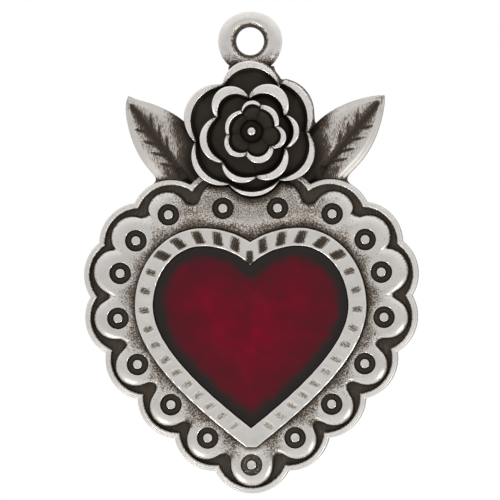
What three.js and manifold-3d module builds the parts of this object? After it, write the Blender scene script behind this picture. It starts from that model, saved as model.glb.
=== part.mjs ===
import * as THREE from 'three';
import { mergeVertices } from 'three/addons/utils/BufferGeometryUtils.js';
import Module from 'manifold-3d';

// Heart pendant with a rose, two leaves and an enamelled heart in a scalloped border.
// Millimetres and degrees. Each piece is drawn lying on its back: x to the right, y up the
// pendant, z toward the viewer, with the flat back at z = 0. The last group stands it upright.
// The origin is on the axis of the hanging ring's eye, level with the back.

// Hanging ring
const EYE_DIAMETER = 2.2;
const RING_WIRE = 1.46;
const RING_TUCK = 0.98; // the ring reaches this far in under the rose's top petal
const RING_COVER = 0.14; // space between the ring and that petal

// Levels and joints
const PLATE_THICKNESS = 0.8;
const SEAM = 0.03; // solder line between two pieces
const SEAT_LEVEL = RING_WIRE + RING_COVER; // the rose rests here

// Heart opening of the bezel, measured from the line through its widest point
const HEART_WIDTH = 15.5;
const APEX_OFFSET = 3.8; // of each upper lobe's top from the centre line
const APEX_RISE = 4.75;
const CLEFT_RISE = 3.25;
const TIP_DROP = 9.68;
const FLANK_HANDLE = 3.16; // the side runs straight down from the widest point for about this far
const TIP_HANDLE_X = 3.7; // the side's direction at the tip
const TIP_HANDLE_Y = 2.94;

// Bezel round the enamel, with a row of graver scoops on its top
const BEZEL_WIDTH = 1.44;
const BEZEL_HEIGHT = 1.5;
const BEZEL_CHAMFER = 0.1;
const TIP_CUT = 1.05; // the tip's outer corner is cut off this many widths below the opening
const SCOOPS_PER_SIDE = 17;
const SCOOP_DRIFT = 0.54; // the scoops stand a little wider apart above than below
const SCOOP_LENGTH = 0.92; // across the bezel
const SCOOP_WIDTH = 0.6;
const SHOULDER_SCOOPS = 5; // pairs next to the cleft that are cut broader
const SHOULDER_SCOOP_WIDTH = 0.84;
const SCOOP_DEPTH = 0.22;

// Enamel in the heart opening
const ENAMEL_RECESS = 0.35; // below the bezel's top
const ENAMEL_EDGE = 0.12;

// Border: domed lobes joined by a web that slopes down to the bezel
const DOME_HEIGHT = 1.25;
const DOME_WALL = 0.55; // upright side of a dome
const DOME_RUN = 1.3; // from a dome's edge in to its top
const FOOT_HEIGHT = 0.8; // of the border at the bezel
const SLOPE_RUN = 1.1; // from the bezel out to the top
const MARK_INNER = 0.35; // radii of the groove punched in each lobe
const MARK_OUTER = 0.8;
const MARK_FLARE = 0.05;
const MARK_LEVEL = 0.86; // bottom of the groove above the plate

// The lobes of the right half from the cleft round to the tip. along: share of the heart
// outline; mark: from the bezel out to the ring mark; dome: radius of the dome; channel: from
// the dome to the rim; reach: from the mark to the rim's crest
const LOBES = [
  { along: 0.132, mark: 1.72, dome: 1.95, channel: 0.45, reach: 3.15 },
  { along: 0.237, mark: 1.67, dome: 1.6, channel: 0.45, reach: 2.75 },
  { along: 0.316, mark: 1.68, dome: 1.7, channel: 0.34, reach: 2.88 },
  { along: 0.391, mark: 1.59, dome: 1.8, channel: 0.28, reach: 2.9 },
  { along: 0.487, mark: 1.44, dome: 1.6, channel: 0.26, reach: 2.64 },
  { along: 0.604, mark: 1.35, dome: 1.57, channel: 0.18, reach: 2.47 },
  { along: 0.754, mark: 1.35, dome: 1.54, channel: 0.2, reach: 2.45 },
  { along: 0.909, mark: 1.35, dome: 1.54, channel: 0.2, reach: 2.43 },
  { along: 1, mark: 1.48, dome: 1.66, channel: 0.1, reach: 2.27 },
];

// The web's edge between each lobe and the next, from the cleft round to the tip
const WEBS = [
  { along: 0.189, out: 1.87 },
  { along: 0.265, out: 2.47 },
  { along: 0.351, out: 2.77 },
  { along: 0.443, out: 2.1 },
  { along: 0.545, out: 1.34 },
  { along: 0.678, out: 1.12 },
  { along: 0.833, out: 1.38 },
  { along: 0.995, out: 1.35 },
];

// Scalloped rim round the border
const SCALLOP_RADIUS = 3.25;
const RIM_WIDTH = 0.48;
const RIM_HEIGHT = 0.85;
const RIM_ROUNDING = 0.13;

// Leaves: the tip measured from the rose's centre, lean of the blade's axis from upright
const LEAVES = [
  { name: 'leaf_left', side: -1, length: 9.3, tip: [-10.15, 2.72], lean: 40.6 },
  { name: 'leaf_right', side: 1, length: 9.6, tip: [10.44, 2.83], lean: 43.7 },
];
const LEAF_WIDTH = 4.53;
const LEAF_FULL_AT = 5.46; // from the tip to where the leaf is full width
const LEAF_ROUNDNESS = 0.81; // power of the sine that shapes the sides; smaller is rounder
const LEAF_TIP_WIDTH = 0.12;
const LEAF_EDGE_HEIGHT = 0.4;
const LEAF_CROWN_HEIGHT = 0.78;
const LEAF_TIP_HEIGHT = 0.3; // share of these heights left at the tip
const MIDRIB_WIDTH = 0.44;
const MIDRIB_DEPTH = 0.3;
const MIDRIB_SHOULDER = 0.05; // fall from the crown to the midrib's two edges
const MIDRIB_DRIFT = 0.06; // of the midrib off the axis to the lower side, per mm from the tip
const VEIN_STATIONS = [3.5, 4.7, 5.85, 6.9]; // from the tip
const VEIN_LENGTH = 1.5;
const VEIN_WIDTH = 0.18;
const VEIN_DEPTH = 0.2;
const VEIN_ANGLE = 45; // from the midrib

// Rose: three whorls of petals threaded on a ball-headed pin
const ROSE_STAND = 3.61; // from the bezel's cleft up to the rose's bottom petal
const ROSE_SHIFT = 0.2; // of the rose to the right of the eye
const NECK_INSET = 0.25; // the plate behind the rose is this much smaller than the rose
const PETAL_FLOOR = 0.25;
const PETAL_GAP = 0.6; // degrees left free at each side of a petal
const PETAL_ROOT = 0.46;
const CUSP_HEIGHT = 0.3; // of a petal's two ends above its floor
const CUSP_LIP = 0.25; // share of the lip's width left at the two ends
const CUSP_LEAN = 0.5; // share of the wall's lean left at the two ends
const PETAL_SWELL = 0.6; // power of the sine from end to end; smaller is fuller
const WALL_BREAK = 0.4; // share of the wall's height at which its inside turns steeper

// Each petal starts at an angle with a cusp radius and swells to its crest; it ends where the
// next one starts, at that one's cusp radius unless it has an end radius of its own. Angles
// run anticlockwise from the right.
const WHORLS = [
  {
    name: 'outer', height: 0.87, lip: 0.5, lean: 0.5, petals: [
      { name: 'upper_right', start: -1, cusp: 4.5, crest: 5.4, end: 4.85 },
      { name: 'top', start: 58, cusp: 4.32, crest: 5.55 },
      { name: 'upper_left', start: 122, cusp: 4.46, crest: 5.62 },
      { name: 'lower_left', start: 190, cusp: 4.65, crest: 5.48 },
      { name: 'bottom', start: 246, cusp: 4.6, crest: 5.14 },
      { name: 'lower_right', start: 299, cusp: 4.45, crest: 5.44 },
    ],
  },
  {
    name: 'middle', height: 1.2, lip: 0.5, lean: 0.45, petals: [
      { name: 'upper_right', start: 25, cusp: 3.1, crest: 4.11 },
      { name: 'upper_left', start: 95, cusp: 2.85, crest: 4.15 },
      { name: 'left', start: 158, cusp: 3.16, crest: 4.19 },
      { name: 'lower_left', start: 226, cusp: 3.5, crest: 4.19 },
      { name: 'lower_right', start: 275, cusp: 3.71, crest: 4.15 },
      { name: 'right', start: 334, cusp: 3.08, crest: 3.79 },
    ],
  },
  {
    name: 'inner', height: 1.35, lip: 0.34, lean: 0.3, petals: [
      { name: 'upper_right', start: 10, cusp: 2.2, crest: 2.49 },
      { name: 'top', start: 69, cusp: 2.13, crest: 2.42 },
      { name: 'left', start: 115, cusp: 1.85, crest: 2.12 },
      { name: 'lower_left', start: 188, cusp: 1.94, crest: 2.49 },
      { name: 'bottom', start: 257, cusp: 1.98, crest: 2.65 },
      { name: 'right', start: 322, cusp: 2.25, crest: 2.84 },
    ],
  },
];

// Pin with a ball head, and the dished washer under it
const PIN_RADIUS = 0.38;
const PIN_NECK_ANGLE = 150; // from the top of the ball down to where its shank begins
const WASHER_RADIUS = 0.93;
const WASHER_HEIGHT = 0.3;
const WASHER_DISH = 0.16;

// Facets and cutting tools
const HEART_STEPS = 36; // per half of the heart outline
const BEFORE_TIP = 0.9999; // share of the outline just short of the tip
const SCALLOP_STEPS = 8; // per lobe of the rim
const DOME_STEPS = 7; // per lobe of the border
const BORDER_ROWS = [0, 0.12, 0.35, 0.7, 1]; // shares of the way from the edge to the bezel
const MARK_STEPS = 10;
const PETAL_STEPS = 10;
const LEAF_STEPS = 10;
const RING_STEPS = 24;
const WIRE_STEPS = 10;
const WASHER_STEPS = 18;
const PIN_STEPS = 12;
const CLEAR = 5; // cutting tools run this far past the piece

const wasm = await Module();
wasm.setup();

const pewter = { color: 0xb9b5af, roughness: 0.34, metalness: 1 };
const darkPewter = { color: 0x6b655f, roughness: 0.5, metalness: 1 };
const redEnamel = { color: 0x6b0f1e, roughness: 0.22, metalness: 0 };

const radians = THREE.MathUtils.degToRad;
const lerp = THREE.MathUtils.lerp;

function polar(radius, angle) {
  return new THREE.Vector2(radius * Math.cos(angle), radius * Math.sin(angle));
}

// Turns a closed shape right side out if its triangles face inward.
function facingOut(geometry) {
  const index = geometry.index.array;
  const at = (i) => new THREE.Vector3().fromBufferAttribute(geometry.attributes.position, i);
  let volume = 0;
  for (let i = 0; i < index.length; i += 3) {
    volume += at(index[i]).dot(at(index[i + 1]).cross(at(index[i + 2])));
  }
  if (volume < 0) {
    for (let i = 0; i < index.length; i += 3) {
      [index[i], index[i + 1]] = [index[i + 1], index[i]];
    }
  }
  return geometry;
}

// Keeps only position, joins shared corners and drops triangles that have collapsed.
function weld(source) {
  const bare = source.clone();
  bare.deleteAttribute('normal');
  bare.deleteAttribute('uv');
  const merged = mergeVertices(bare);
  const kept = [];
  for (let i = 0; i < merged.index.count; i += 3) {
    const [a, b, c] = [0, 1, 2].map((corner) => merged.index.getX(i + corner));
    if (a !== b && b !== c && c !== a) {
      kept.push(a, b, c);
    }
  }
  merged.setIndex(kept);
  return facingOut(merged);
}

function toSolid(geometry) {
  const welded = weld(geometry);
  const mesh = new wasm.Mesh({
    numProp: 3,
    vertProperties: new Float32Array(welded.attributes.position.array),
    triVerts: new Uint32Array(welded.index.array),
  });
  return new wasm.Manifold(mesh);
}

function toGeometry(solid) {
  const mesh = solid.getMesh();
  const geometry = new THREE.BufferGeometry();
  geometry.setAttribute('position', new THREE.BufferAttribute(mesh.vertProperties, 3));
  geometry.setIndex(new THREE.BufferAttribute(mesh.triVerts, 1));
  return geometry;
}

// Triangles that close one end row of a skin; flatten gives the row's plane.
function capTriangles(row, firstIndex, flatten, reversed) {
  const outline = row.map(flatten);
  const turn = Math.sign(THREE.ShapeUtils.area(outline));
  return THREE.ShapeUtils.triangulateShape(outline, []).flatMap((face) => {
    const forward = Math.sign(THREE.ShapeUtils.area(face.map((i) => outline[i]))) === turn;
    const [a, b, c] = face.map((i) => i + firstIndex);
    return forward === reversed ? [a, c, b] : [a, b, c];
  });
}

// Skin over rows of points, each row closed on itself. With flatten the first and last rows
// are capped; without it the last row joins the first, as on a frame.
function skin(rows, flatten) {
  const count = rows[0].length;
  const strips = flatten ? rows.length - 1 : rows.length;
  const triangles = [];
  for (let row = 0; row < strips; row += 1) {
    const next = (row + 1) % rows.length;
    for (let i = 0; i < count; i += 1) {
      const j = (i + 1) % count;
      const [a, b, c, d] = [row * count + i, row * count + j, next * count + j, next * count + i];
      triangles.push(a, b, c, a, c, d);
    }
  }
  if (flatten) {
    const last = rows.length - 1;
    triangles.push(...capTriangles(rows[0], 0, flatten, true));
    triangles.push(...capTriangles(rows[last], last * count, flatten, false));
  }
  const corners = rows.flat().flatMap((point) => point.toArray());
  const geometry = new THREE.BufferGeometry();
  geometry.setAttribute('position', new THREE.Float32BufferAttribute(corners, 3));
  geometry.setIndex(triangles);
  return facingOut(geometry);
}

const fromAbove = (point) => new THREE.Vector2(point.x, point.y);
const raise = (points, level) => points.map((point) => new THREE.Vector3(point.x, point.y, level));

// A turned shape about the viewing axis from a profile of [radius, level] points.
function turned(profile, steps) {
  const points = profile.map(([radius, level]) => new THREE.Vector2(radius, level));
  return weld(new THREE.LatheGeometry(points, steps).rotateX(Math.PI / 2));
}

// Right half of the heart outline, from the cleft over the shoulder and down to the tip.
function halfHeart() {
  const half = HEART_WIDTH / 2;
  const fall = APEX_RISE - CLEFT_RISE;
  const cleftRadius = (APEX_OFFSET ** 2 + fall ** 2) / (2 * fall);
  const cleftAngle = Math.PI - Math.acos(APEX_OFFSET / cleftRadius);
  const path = new THREE.Path();
  path.absarc(APEX_OFFSET, APEX_RISE - cleftRadius, cleftRadius, cleftAngle, Math.PI / 2, true);
  path.absellipse(APEX_OFFSET, 0, half - APEX_OFFSET, APEX_RISE, Math.PI / 2, 0, true);
  path.bezierCurveTo(half, -FLANK_HANDLE, TIP_HANDLE_X, TIP_HANDLE_Y - TIP_DROP, 0, -TIP_DROP);
  return path;
}

const heart = halfHeart();

// Outward direction of the heart outline; straight down at the very tip.
function heartNormal(along) {
  if (along >= 1) {
    return new THREE.Vector2(0, -1);
  }
  const tangent = heart.getTangent(along);
  return new THREE.Vector2(-tangent.y, tangent.x);
}

function heartPoint(along, out) {
  return heart.getPoint(along).addScaledVector(heartNormal(along), out);
}

// Where the step from point a to point b meets the centre line.
function onCentreLine(a, b) {
  return new THREE.Vector2(0, lerp(a.y, b.y, a.x / (a.x - b.x)));
}

// The whole heart outline moved outward, or inward if out is negative. The cleft opens into
// an arc or runs together on the centre line, the tip is a mitre with its point cut off, and
// the points are spaced evenly again.
function heartLoop(out, level) {
  const fan = [0, 0.25, 0.5, 0.75];
  const cleftAngle = heartNormal(0).angle();
  const tipAngle = heartNormal(BEFORE_TIP).angle();
  const points = fan.map((share) => lerp(Math.PI / 2, cleftAngle, share))
    .map((angle) => heart.getPoint(0).add(polar(out, angle)));
  const widest = points.length + HEART_STEPS;
  for (let i = 0; i < 2 * HEART_STEPS; i += 1) {
    points.push(heartPoint(i / (2 * HEART_STEPS), out));
  }
  const tip = heart.getPoint(1);
  for (const share of [...fan, 1]) {
    const turn = share * (1.5 * Math.PI - tipAngle);
    const corner = polar(out / Math.cos(turn), tipAngle + turn).add(tip);
    corner.y = Math.max(corner.y, tip.y - TIP_CUT * Math.abs(out));
    points.push(corner);
  }
  let first = widest;
  while (first > 0 && points[first - 1].x > 1e-6) {
    first -= 1;
  }
  let last = widest;
  while (last < points.length - 1 && points[last + 1].x > 1e-6) {
    last += 1;
  }
  const half = points.slice(first, last + 1);
  half.unshift(onCentreLine(points[Math.max(first - 1, 0)], points[first]));
  half.push(onCentreLine(points[last], points[Math.min(last + 1, points.length - 1)]));
  const right = new THREE.Path(half).getSpacedPoints(HEART_STEPS);
  const left = right.slice(1, -1).reverse().map((point) => new THREE.Vector2(-point.x, point.y));
  return raise([...right, ...left], level);
}

// Repeats a list on the left half, so that it runs clockwise round the pendant. The last
// entry stands on the centre line when shared is true.
function bothSides(points, shared) {
  const mirrored = points.slice(0, shared ? -1 : undefined).reverse();
  return [...points, ...mirrored.map((point) => new THREE.Vector2(-point.x, point.y))];
}

const markCentres = bothSides(LOBES.map(({ along, mark }) => (
  heartPoint(along, BEZEL_WIDTH + mark))), true);
const domeCentres = bothSides(LOBES.map(({ along, mark, dome, channel, reach }) => (
  heartPoint(along, BEZEL_WIDTH + mark + reach - RIM_WIDTH - channel - dome))), true);
const scallopCentres = bothSides(LOBES.map(({ along, mark, reach }) => (
  heartPoint(along, BEZEL_WIDTH + mark + reach - SCALLOP_RADIUS))), true);

// Outline of the rim: one arc over each lobe, meeting its neighbours where the circles cross.
function scallopLoop(grow, level) {
  const radius = SCALLOP_RADIUS + grow;
  const count = scallopCentres.length;
  const cusps = scallopCentres.map((centre, i) => {
    const step = scallopCentres[(i + 1) % count].clone().sub(centre);
    const middle = centre.clone().addScaledVector(step, 0.5);
    const rise = Math.sqrt(radius ** 2 - step.lengthSq() / 4);
    return middle.addScaledVector(new THREE.Vector2(-step.y, step.x).normalize(), rise);
  });
  const points = scallopCentres.flatMap((centre, i) => {
    const start = cusps[(i + count - 1) % count].clone().sub(centre).angle();
    const end = cusps[i].clone().sub(centre).angle();
    const sweep = (start - end + 2 * Math.PI) % (2 * Math.PI);
    return Array.from({ length: SCALLOP_STEPS }, (_, step) => (
      centre.clone().add(polar(radius, start - sweep * step / SCALLOP_STEPS))));
  });
  return raise(points, level);
}

const scallopBlock = (grow, bottom, top) => (
  skin([scallopLoop(grow, bottom), scallopLoop(grow, top)], fromAbove));

// Centre and radius of the circle through three points.
function circleThrough(a, b, c) {
  const p = b.clone().sub(a);
  const q = c.clone().sub(a);
  const twice = 2 * p.cross(q);
  const x = (q.y * p.lengthSq() - p.y * q.lengthSq()) / twice;
  const y = (p.x * q.lengthSq() - q.x * p.lengthSq()) / twice;
  return { centre: a.clone().add(new THREE.Vector2(x, y)), radius: Math.hypot(x, y) };
}

// A petal's lip seen from above, about the rose's centre with the crest on +x: the arc
// through its two cusps and its crest.
function petalArc({ sector, cusp, endCusp, crest }) {
  const half = radians(sector / 2 - PETAL_GAP);
  const start = polar(cusp, -half);
  const end = polar(endCusp, half);
  const { centre, radius } = circleThrough(start, new THREE.Vector2(crest, 0), end);
  const from = start.clone().sub(centre).angle() - 2 * Math.PI;
  const to = end.clone().sub(centre).angle();
  return Array.from({ length: PETAL_STEPS + 1 }, (_, step) => (
    polar(radius, lerp(from, to, step / PETAL_STEPS)).add(centre)));
}

// The petals of a whorl, each with the angle of its crest and the cusp where the next begins.
const petalsOf = (whorl) => whorl.petals.map((petal, i) => {
  const next = whorl.petals[(i + 1) % whorl.petals.length];
  const sector = (next.start - petal.start + 360) % 360;
  const endCusp = petal.end ?? next.cusp;
  return { ...petal, sector, endCusp, middle: radians(petal.start + sector / 2) };
});

// The rose stands over the bezel's cleft and the ring over the rose.
const crestOf = (name) => WHORLS[0].petals.find((petal) => petal.name === name).crest;
const bezelCleft = heartLoop(BEZEL_WIDTH, 0)[0].y;
const roseCentre = new THREE.Vector2(ROSE_SHIFT, bezelCleft + ROSE_STAND + crestOf('bottom'));
const eyeRise = roseCentre.y + crestOf('top') - RING_TUCK + RING_WIRE + EYE_DIAMETER / 2;

// A block with the outline of the outer whorl moved outward by grow, in the heart's frame.
function roseBlock(grow, bottom, top) {
  const outline = petalsOf(WHORLS[0]).flatMap((petal) => petalArc(petal).map((point) => (
    polar(point.length() + grow, point.angle() + petal.middle).add(roseCentre))));
  return toSolid(skin([raise(outline, bottom), raise(outline, top)], fromAbove));
}

const roseSeat = roseBlock(SEAM, SEAT_LEVEL, SEAT_LEVEL + CLEAR);

// Places on a leaf in the heart's frame: inward is the direction from tip to root, and spot
// gives the place so far from the tip and so far to the lower side of the axis.
function leafFrame({ side, lean, tip }) {
  const inward = polar(1, radians(270 - side * lean));
  const lower = new THREE.Vector2(-inward.y, inward.x).multiplyScalar(side);
  const start = roseCentre.clone().add(new THREE.Vector2(...tip));
  const spot = (fromTip, out) => (
    start.clone().addScaledVector(inward, fromTip).addScaledVector(lower, out));
  return { inward, lower, spot };
}

// A leaf lofted from tip to root. section gives [out, level] points for a half width, a share
// of the full height and the midrib's place.
function leafBlock(leaf, section) {
  const { lower, spot } = leafFrame(leaf);
  const rows = Array.from({ length: LEAF_STEPS + 1 }, (_, step) => {
    const fromTip = leaf.length * step / LEAF_STEPS;
    const swell = Math.sin(Math.PI / 2 * Math.min(1, fromTip / LEAF_FULL_AT)) ** LEAF_ROUNDNESS;
    const half = Math.max(LEAF_WIDTH * swell, LEAF_TIP_WIDTH) / 2;
    const share = Math.max(swell, LEAF_TIP_HEIGHT);
    return section(half, share, MIDRIB_DRIFT * fromTip).map(([out, level]) => {
      const { x, y } = spot(fromTip, out);
      return new THREE.Vector3(x, y, level);
    });
  });
  return toSolid(skin(rows, (point) => new THREE.Vector2(lower.dot(point), point.z)));
}

// The back: one sheet sawn to the whole outline, with a raised seat behind the rose.
function backPlate() {
  const sheet = toSolid(scallopBlock(0, 0, PLATE_THICKNESS));
  const neck = roseBlock(-NECK_INSET, 0, PLATE_THICKNESS);
  const seat = roseBlock(-NECK_INSET, PLATE_THICKNESS / 2, SEAT_LEVEL)
    .subtract(toSolid(scallopBlock(SEAM, PLATE_THICKNESS, SEAT_LEVEL + CLEAR)));
  const flat = (half) => (
    [[-half, 0], [-half, PLATE_THICKNESS], [half, PLATE_THICKNESS], [half, 0]]);
  const leaves = LEAVES.map((leaf) => leafBlock(leaf, flat));
  const cradle = toSolid(ringTorus(RING_WIRE / 2 + SEAM).translate(0, eyeRise, 0));
  return [neck, seat, ...leaves].reduce((plate, shape) => plate.add(shape), sheet).subtract(cradle);
}

// Torus of the hanging ring about its own centre, its back level with the plate's back.
function ringTorus(wireRadius) {
  const major = (EYE_DIAMETER + RING_WIRE) / 2;
  return new THREE.TorusGeometry(major, wireRadius, WIRE_STEPS, RING_STEPS)
    .translate(0, 0, RING_WIRE / 2);
}

// A leaf's blade: domed on both sides of a sunk midrib, with veins cut slanting to the tip.
function leafSolid(leaf) {
  const bottom = PLATE_THICKNESS + SEAM;
  const { inward, spot } = leafFrame(leaf);
  let solid = leafBlock(leaf, (half, share, middle) => {
    const rib = MIDRIB_WIDTH * half / LEAF_WIDTH;
    const edge = PLATE_THICKNESS + LEAF_EDGE_HEIGHT * share;
    const crown = PLATE_THICKNESS + LEAF_CROWN_HEIGHT * share;
    const shoulder = crown - MIDRIB_SHOULDER * share;
    return [
      [-half, bottom], [-half, edge], [(middle - half) / 2, crown], [middle - rib, shoulder],
      [middle, crown - MIDRIB_DEPTH * share],
      [middle + rib, shoulder], [(middle + half) / 2, crown], [half, edge], [half, bottom],
    ];
  });
  for (const station of VEIN_STATIONS) {
    for (const side of [-1, 1]) {
      const direction = inward.angle() + Math.PI + side * radians(VEIN_ANGLE);
      const middle = spot(station, MIDRIB_DRIFT * station).add(polar(VEIN_LENGTH / 2, direction));
      const vein = new THREE.OctahedronGeometry(1)
        .scale(VEIN_LENGTH / 2, VEIN_WIDTH / 2, VEIN_DEPTH)
        .rotateZ(direction)
        .translate(middle.x, middle.y, PLATE_THICKNESS + LEAF_CROWN_HEIGHT);
      solid = solid.subtract(toSolid(vein));
    }
  }
  const rim = toSolid(scallopBlock(SEAM, 0, CLEAR));
  return solid.subtract(rim).subtract(roseBlock(SEAM - NECK_INSET, 0, CLEAR)).subtract(roseSeat);
}

function rimSolid() {
  const bottom = PLATE_THICKNESS + SEAM;
  const top = PLATE_THICKNESS + RIM_HEIGHT;
  const frame = skin([
    scallopLoop(-RIM_WIDTH, bottom),
    scallopLoop(0, bottom),
    scallopLoop(0, top - RIM_ROUNDING),
    scallopLoop(-RIM_ROUNDING, top),
    scallopLoop(RIM_ROUNDING - RIM_WIDTH, top),
    scallopLoop(-RIM_WIDTH, top - RIM_ROUNDING),
  ]);
  return toSolid(frame).subtract(roseSeat);
}

// Groove punched round the middle of a lobe.
function ringMark() {
  const floor = PLATE_THICKNESS + MARK_LEVEL;
  const top = PLATE_THICKNESS + DOME_HEIGHT + SEAM;
  return turned([
    [MARK_INNER, floor],
    [MARK_OUTER, floor],
    [MARK_OUTER + MARK_FLARE, top],
    [MARK_INNER - MARK_FLARE, top],
    [MARK_INNER, floor],
  ], MARK_STEPS);
}

// Share of a closed path at which it comes nearest to a point.
function shareNear(path, point) {
  const samples = path.getSpacedPoints(8 * HEART_STEPS);
  const distances = samples.map((sample) => sample.distanceTo(point));
  return distances.indexOf(Math.min(...distances)) / (8 * HEART_STEPS);
}

// Columns of the border, clockwise round the pendant. Each has a point on the lobed outer
// edge, an arc over every dome with a notch at every web, and its foot at the bezel.
function borderColumns() {
  const footPath = new THREE.Path(heartLoop(BEZEL_WIDTH + SEAM, 0).map(fromAbove));
  footPath.closePath();
  const notches = bothSides(WEBS.map(({ along, out }) => heartPoint(along, BEZEL_WIDTH + out)), false);
  const rimRise = Math.sqrt((SCALLOP_RADIUS - RIM_WIDTH) ** 2 - scallopCentres[0].x ** 2);
  const top = new THREE.Vector2(0, scallopCentres[0].y + rimRise - LOBES[0].channel);
  const radii = [...LOBES, ...LOBES.slice(0, -1).reverse()].map((lobe) => lobe.dome);
  const tips = [top, ...notches];
  const shares = [0, ...notches.map((notch) => shareNear(footPath, notch)), 1];
  return domeCentres.flatMap((centre, i) => {
    const start = tips[i].clone().sub(centre).angle();
    const end = tips[(i + 1) % tips.length].clone().sub(centre).angle();
    const sweep = (start - end + 2 * Math.PI) % (2 * Math.PI);
    const arc = Array.from({ length: DOME_STEPS + 1 }, (_, step) => (
      centre.clone().add(polar(radii[i], start - sweep * step / DOME_STEPS))));
    return [tips[i], ...arc].map((edge, step, list) => ({
      edge,
      foot: footPath.getPointAt(lerp(shares[i], shares[i + 1], step / list.length)),
    }));
  });
}

// Level of the border's top between its outer edge and the bezel: a dome from the edge
// inward, cut by the slope that falls to the bezel.
function borderLevel(fromEdge, fromFoot) {
  const dome = DOME_WALL + (DOME_HEIGHT - DOME_WALL)
    * Math.sqrt(1 - Math.max(0, 1 - fromEdge / DOME_RUN) ** 2);
  const slope = lerp(FOOT_HEIGHT, DOME_HEIGHT, fromFoot / SLOPE_RUN);
  return PLATE_THICKNESS + Math.min(dome, slope);
}

function borderSolid() {
  const bottom = PLATE_THICKNESS + SEAM;
  const columns = borderColumns();
  const rows = BORDER_ROWS.map((share) => columns.map(({ edge, foot }) => {
    const spot = edge.clone().lerp(foot, share);
    const level = borderLevel(spot.distanceTo(edge), spot.distanceTo(foot));
    return new THREE.Vector3(spot.x, spot.y, level);
  }));
  const edges = columns.map(({ edge }) => edge);
  const feet = columns.map(({ foot }) => foot);
  let solid = toSolid(skin([raise(edges, bottom), ...rows, raise(feet, bottom)]));
  for (const centre of markCentres) {
    solid = solid.subtract(toSolid(ringMark().translate(centre.x, centre.y, 0)));
  }
  return solid.subtract(roseSeat);
}

// Share of the heart outline at which the given scoop lies.
function scoopStation(i) {
  const gaps = SCOOPS_PER_SIDE + 1;
  return (i + SCOOP_DRIFT * Math.sin(Math.PI * i / gaps)) / gaps;
}

// Places and turns of the scoops: one in the cleft, the others in pairs down the two sides.
function scoopPlaces() {
  const places = [{ x: 0, y: CLEFT_RISE + BEZEL_WIDTH / 2, turn: Math.PI / 2, width: SCOOP_WIDTH }];
  for (let i = 1; i <= SCOOPS_PER_SIDE; i += 1) {
    const along = scoopStation(i);
    const { x, y } = heartPoint(along, BEZEL_WIDTH / 2);
    const turn = heartNormal(along).angle();
    const width = i <= SHOULDER_SCOOPS ? SHOULDER_SCOOP_WIDTH : SCOOP_WIDTH;
    places.push({ x, y, turn, width }, { x: -x, y, turn: Math.PI - turn, width });
  }
  return places;
}

function bezelSolid() {
  const bottom = PLATE_THICKNESS + SEAM;
  const top = PLATE_THICKNESS + BEZEL_HEIGHT;
  const frame = skin([
    heartLoop(0, bottom),
    heartLoop(BEZEL_WIDTH, bottom),
    heartLoop(BEZEL_WIDTH, top - BEZEL_CHAMFER),
    heartLoop(BEZEL_WIDTH - BEZEL_CHAMFER, top),
    heartLoop(BEZEL_CHAMFER, top),
    heartLoop(0, top - BEZEL_CHAMFER),
  ]);
  return scoopPlaces().reduce((solid, { x, y, turn, width }) => {
    const scoop = new THREE.SphereGeometry(1, 8, 4)
      .scale(SCOOP_LENGTH / 2, width / 2, SCOOP_DEPTH)
      .rotateZ(turn)
      .translate(x, y, top);
    return solid.subtract(toSolid(scoop));
  }, toSolid(frame));
}

function enamelGeometry() {
  const top = PLATE_THICKNESS + BEZEL_HEIGHT - ENAMEL_RECESS;
  return skin([
    heartLoop(-SEAM, PLATE_THICKNESS + SEAM),
    heartLoop(-SEAM, top - ENAMEL_EDGE),
    heartLoop(-SEAM - ENAMEL_EDGE, top),
  ], fromAbove);
}

// A spoon-shaped petal about the rose's axis with its crest on +x. Its lip is high and broad
// at the crest, low and narrow at the cusps.
function petalGeometry(whorl, base, petal) {
  const floor = base + PETAL_FLOOR;
  const rows = petalArc(petal).map((spot, step) => {
    const swell = Math.sin(Math.PI * step / PETAL_STEPS) ** PETAL_SWELL;
    const lipTop = lerp(floor + CUSP_HEIGHT, base + whorl.height, swell);
    const lip = whorl.lip * lerp(CUSP_LIP, 1, swell);
    const lean = whorl.lean * lerp(CUSP_LEAN, 1, swell);
    const edge = spot.length();
    return [
      [PETAL_ROOT, base],
      [edge - lean, base],
      [edge, lipTop - lip / 3],
      [edge - lip / 4, lipTop],
      [edge - lip, lipTop - lip / 4],
      [edge - lip - lean / 3, lerp(floor, lipTop, WALL_BREAK)],
      [edge - lip - lean, floor],
      [PETAL_ROOT, floor],
    ].map(([reach, level]) => {
      const place = spot.clone().setLength(reach);
      return new THREE.Vector3(place.x, place.y, level);
    });
  });
  return skin(rows, (point) => new THREE.Vector2(Math.hypot(point.x, point.y), point.z));
}

const shankRadius = PIN_RADIUS * Math.sin(radians(PIN_NECK_ANGLE));

function pinGeometry(headLevel) {
  const head = Array.from({ length: PIN_STEPS / 2 + 1 }, (_, step) => {
    const angle = radians(PIN_NECK_ANGLE * (1 - 2 * step / PIN_STEPS));
    return [PIN_RADIUS * Math.sin(angle), headLevel + PIN_RADIUS * Math.cos(angle)];
  });
  return turned([[0, SEAT_LEVEL + SEAM], [shankRadius, SEAT_LEVEL + SEAM], ...head], PIN_STEPS);
}

function washerGeometry(base) {
  const hole = shankRadius + SEAM;
  const top = base + WASHER_HEIGHT;
  return turned([
    [hole, base],
    [WASHER_RADIUS - WASHER_DISH, base],
    [WASHER_RADIUS, lerp(base, top, 0.5)],
    [WASHER_RADIUS, top],
    [WASHER_RADIUS - WASHER_DISH / 2, top],
    [WASHER_RADIUS - 2 * WASHER_DISH, top - WASHER_DISH],
    [hole, top - WASHER_DISH],
    [hole, base],
  ], WASHER_STEPS);
}

function piece(name, shape, finish) {
  const mesh = new THREE.Mesh(shape, new THREE.MeshStandardMaterial(finish));
  mesh.name = name;
  return mesh;
}

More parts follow.
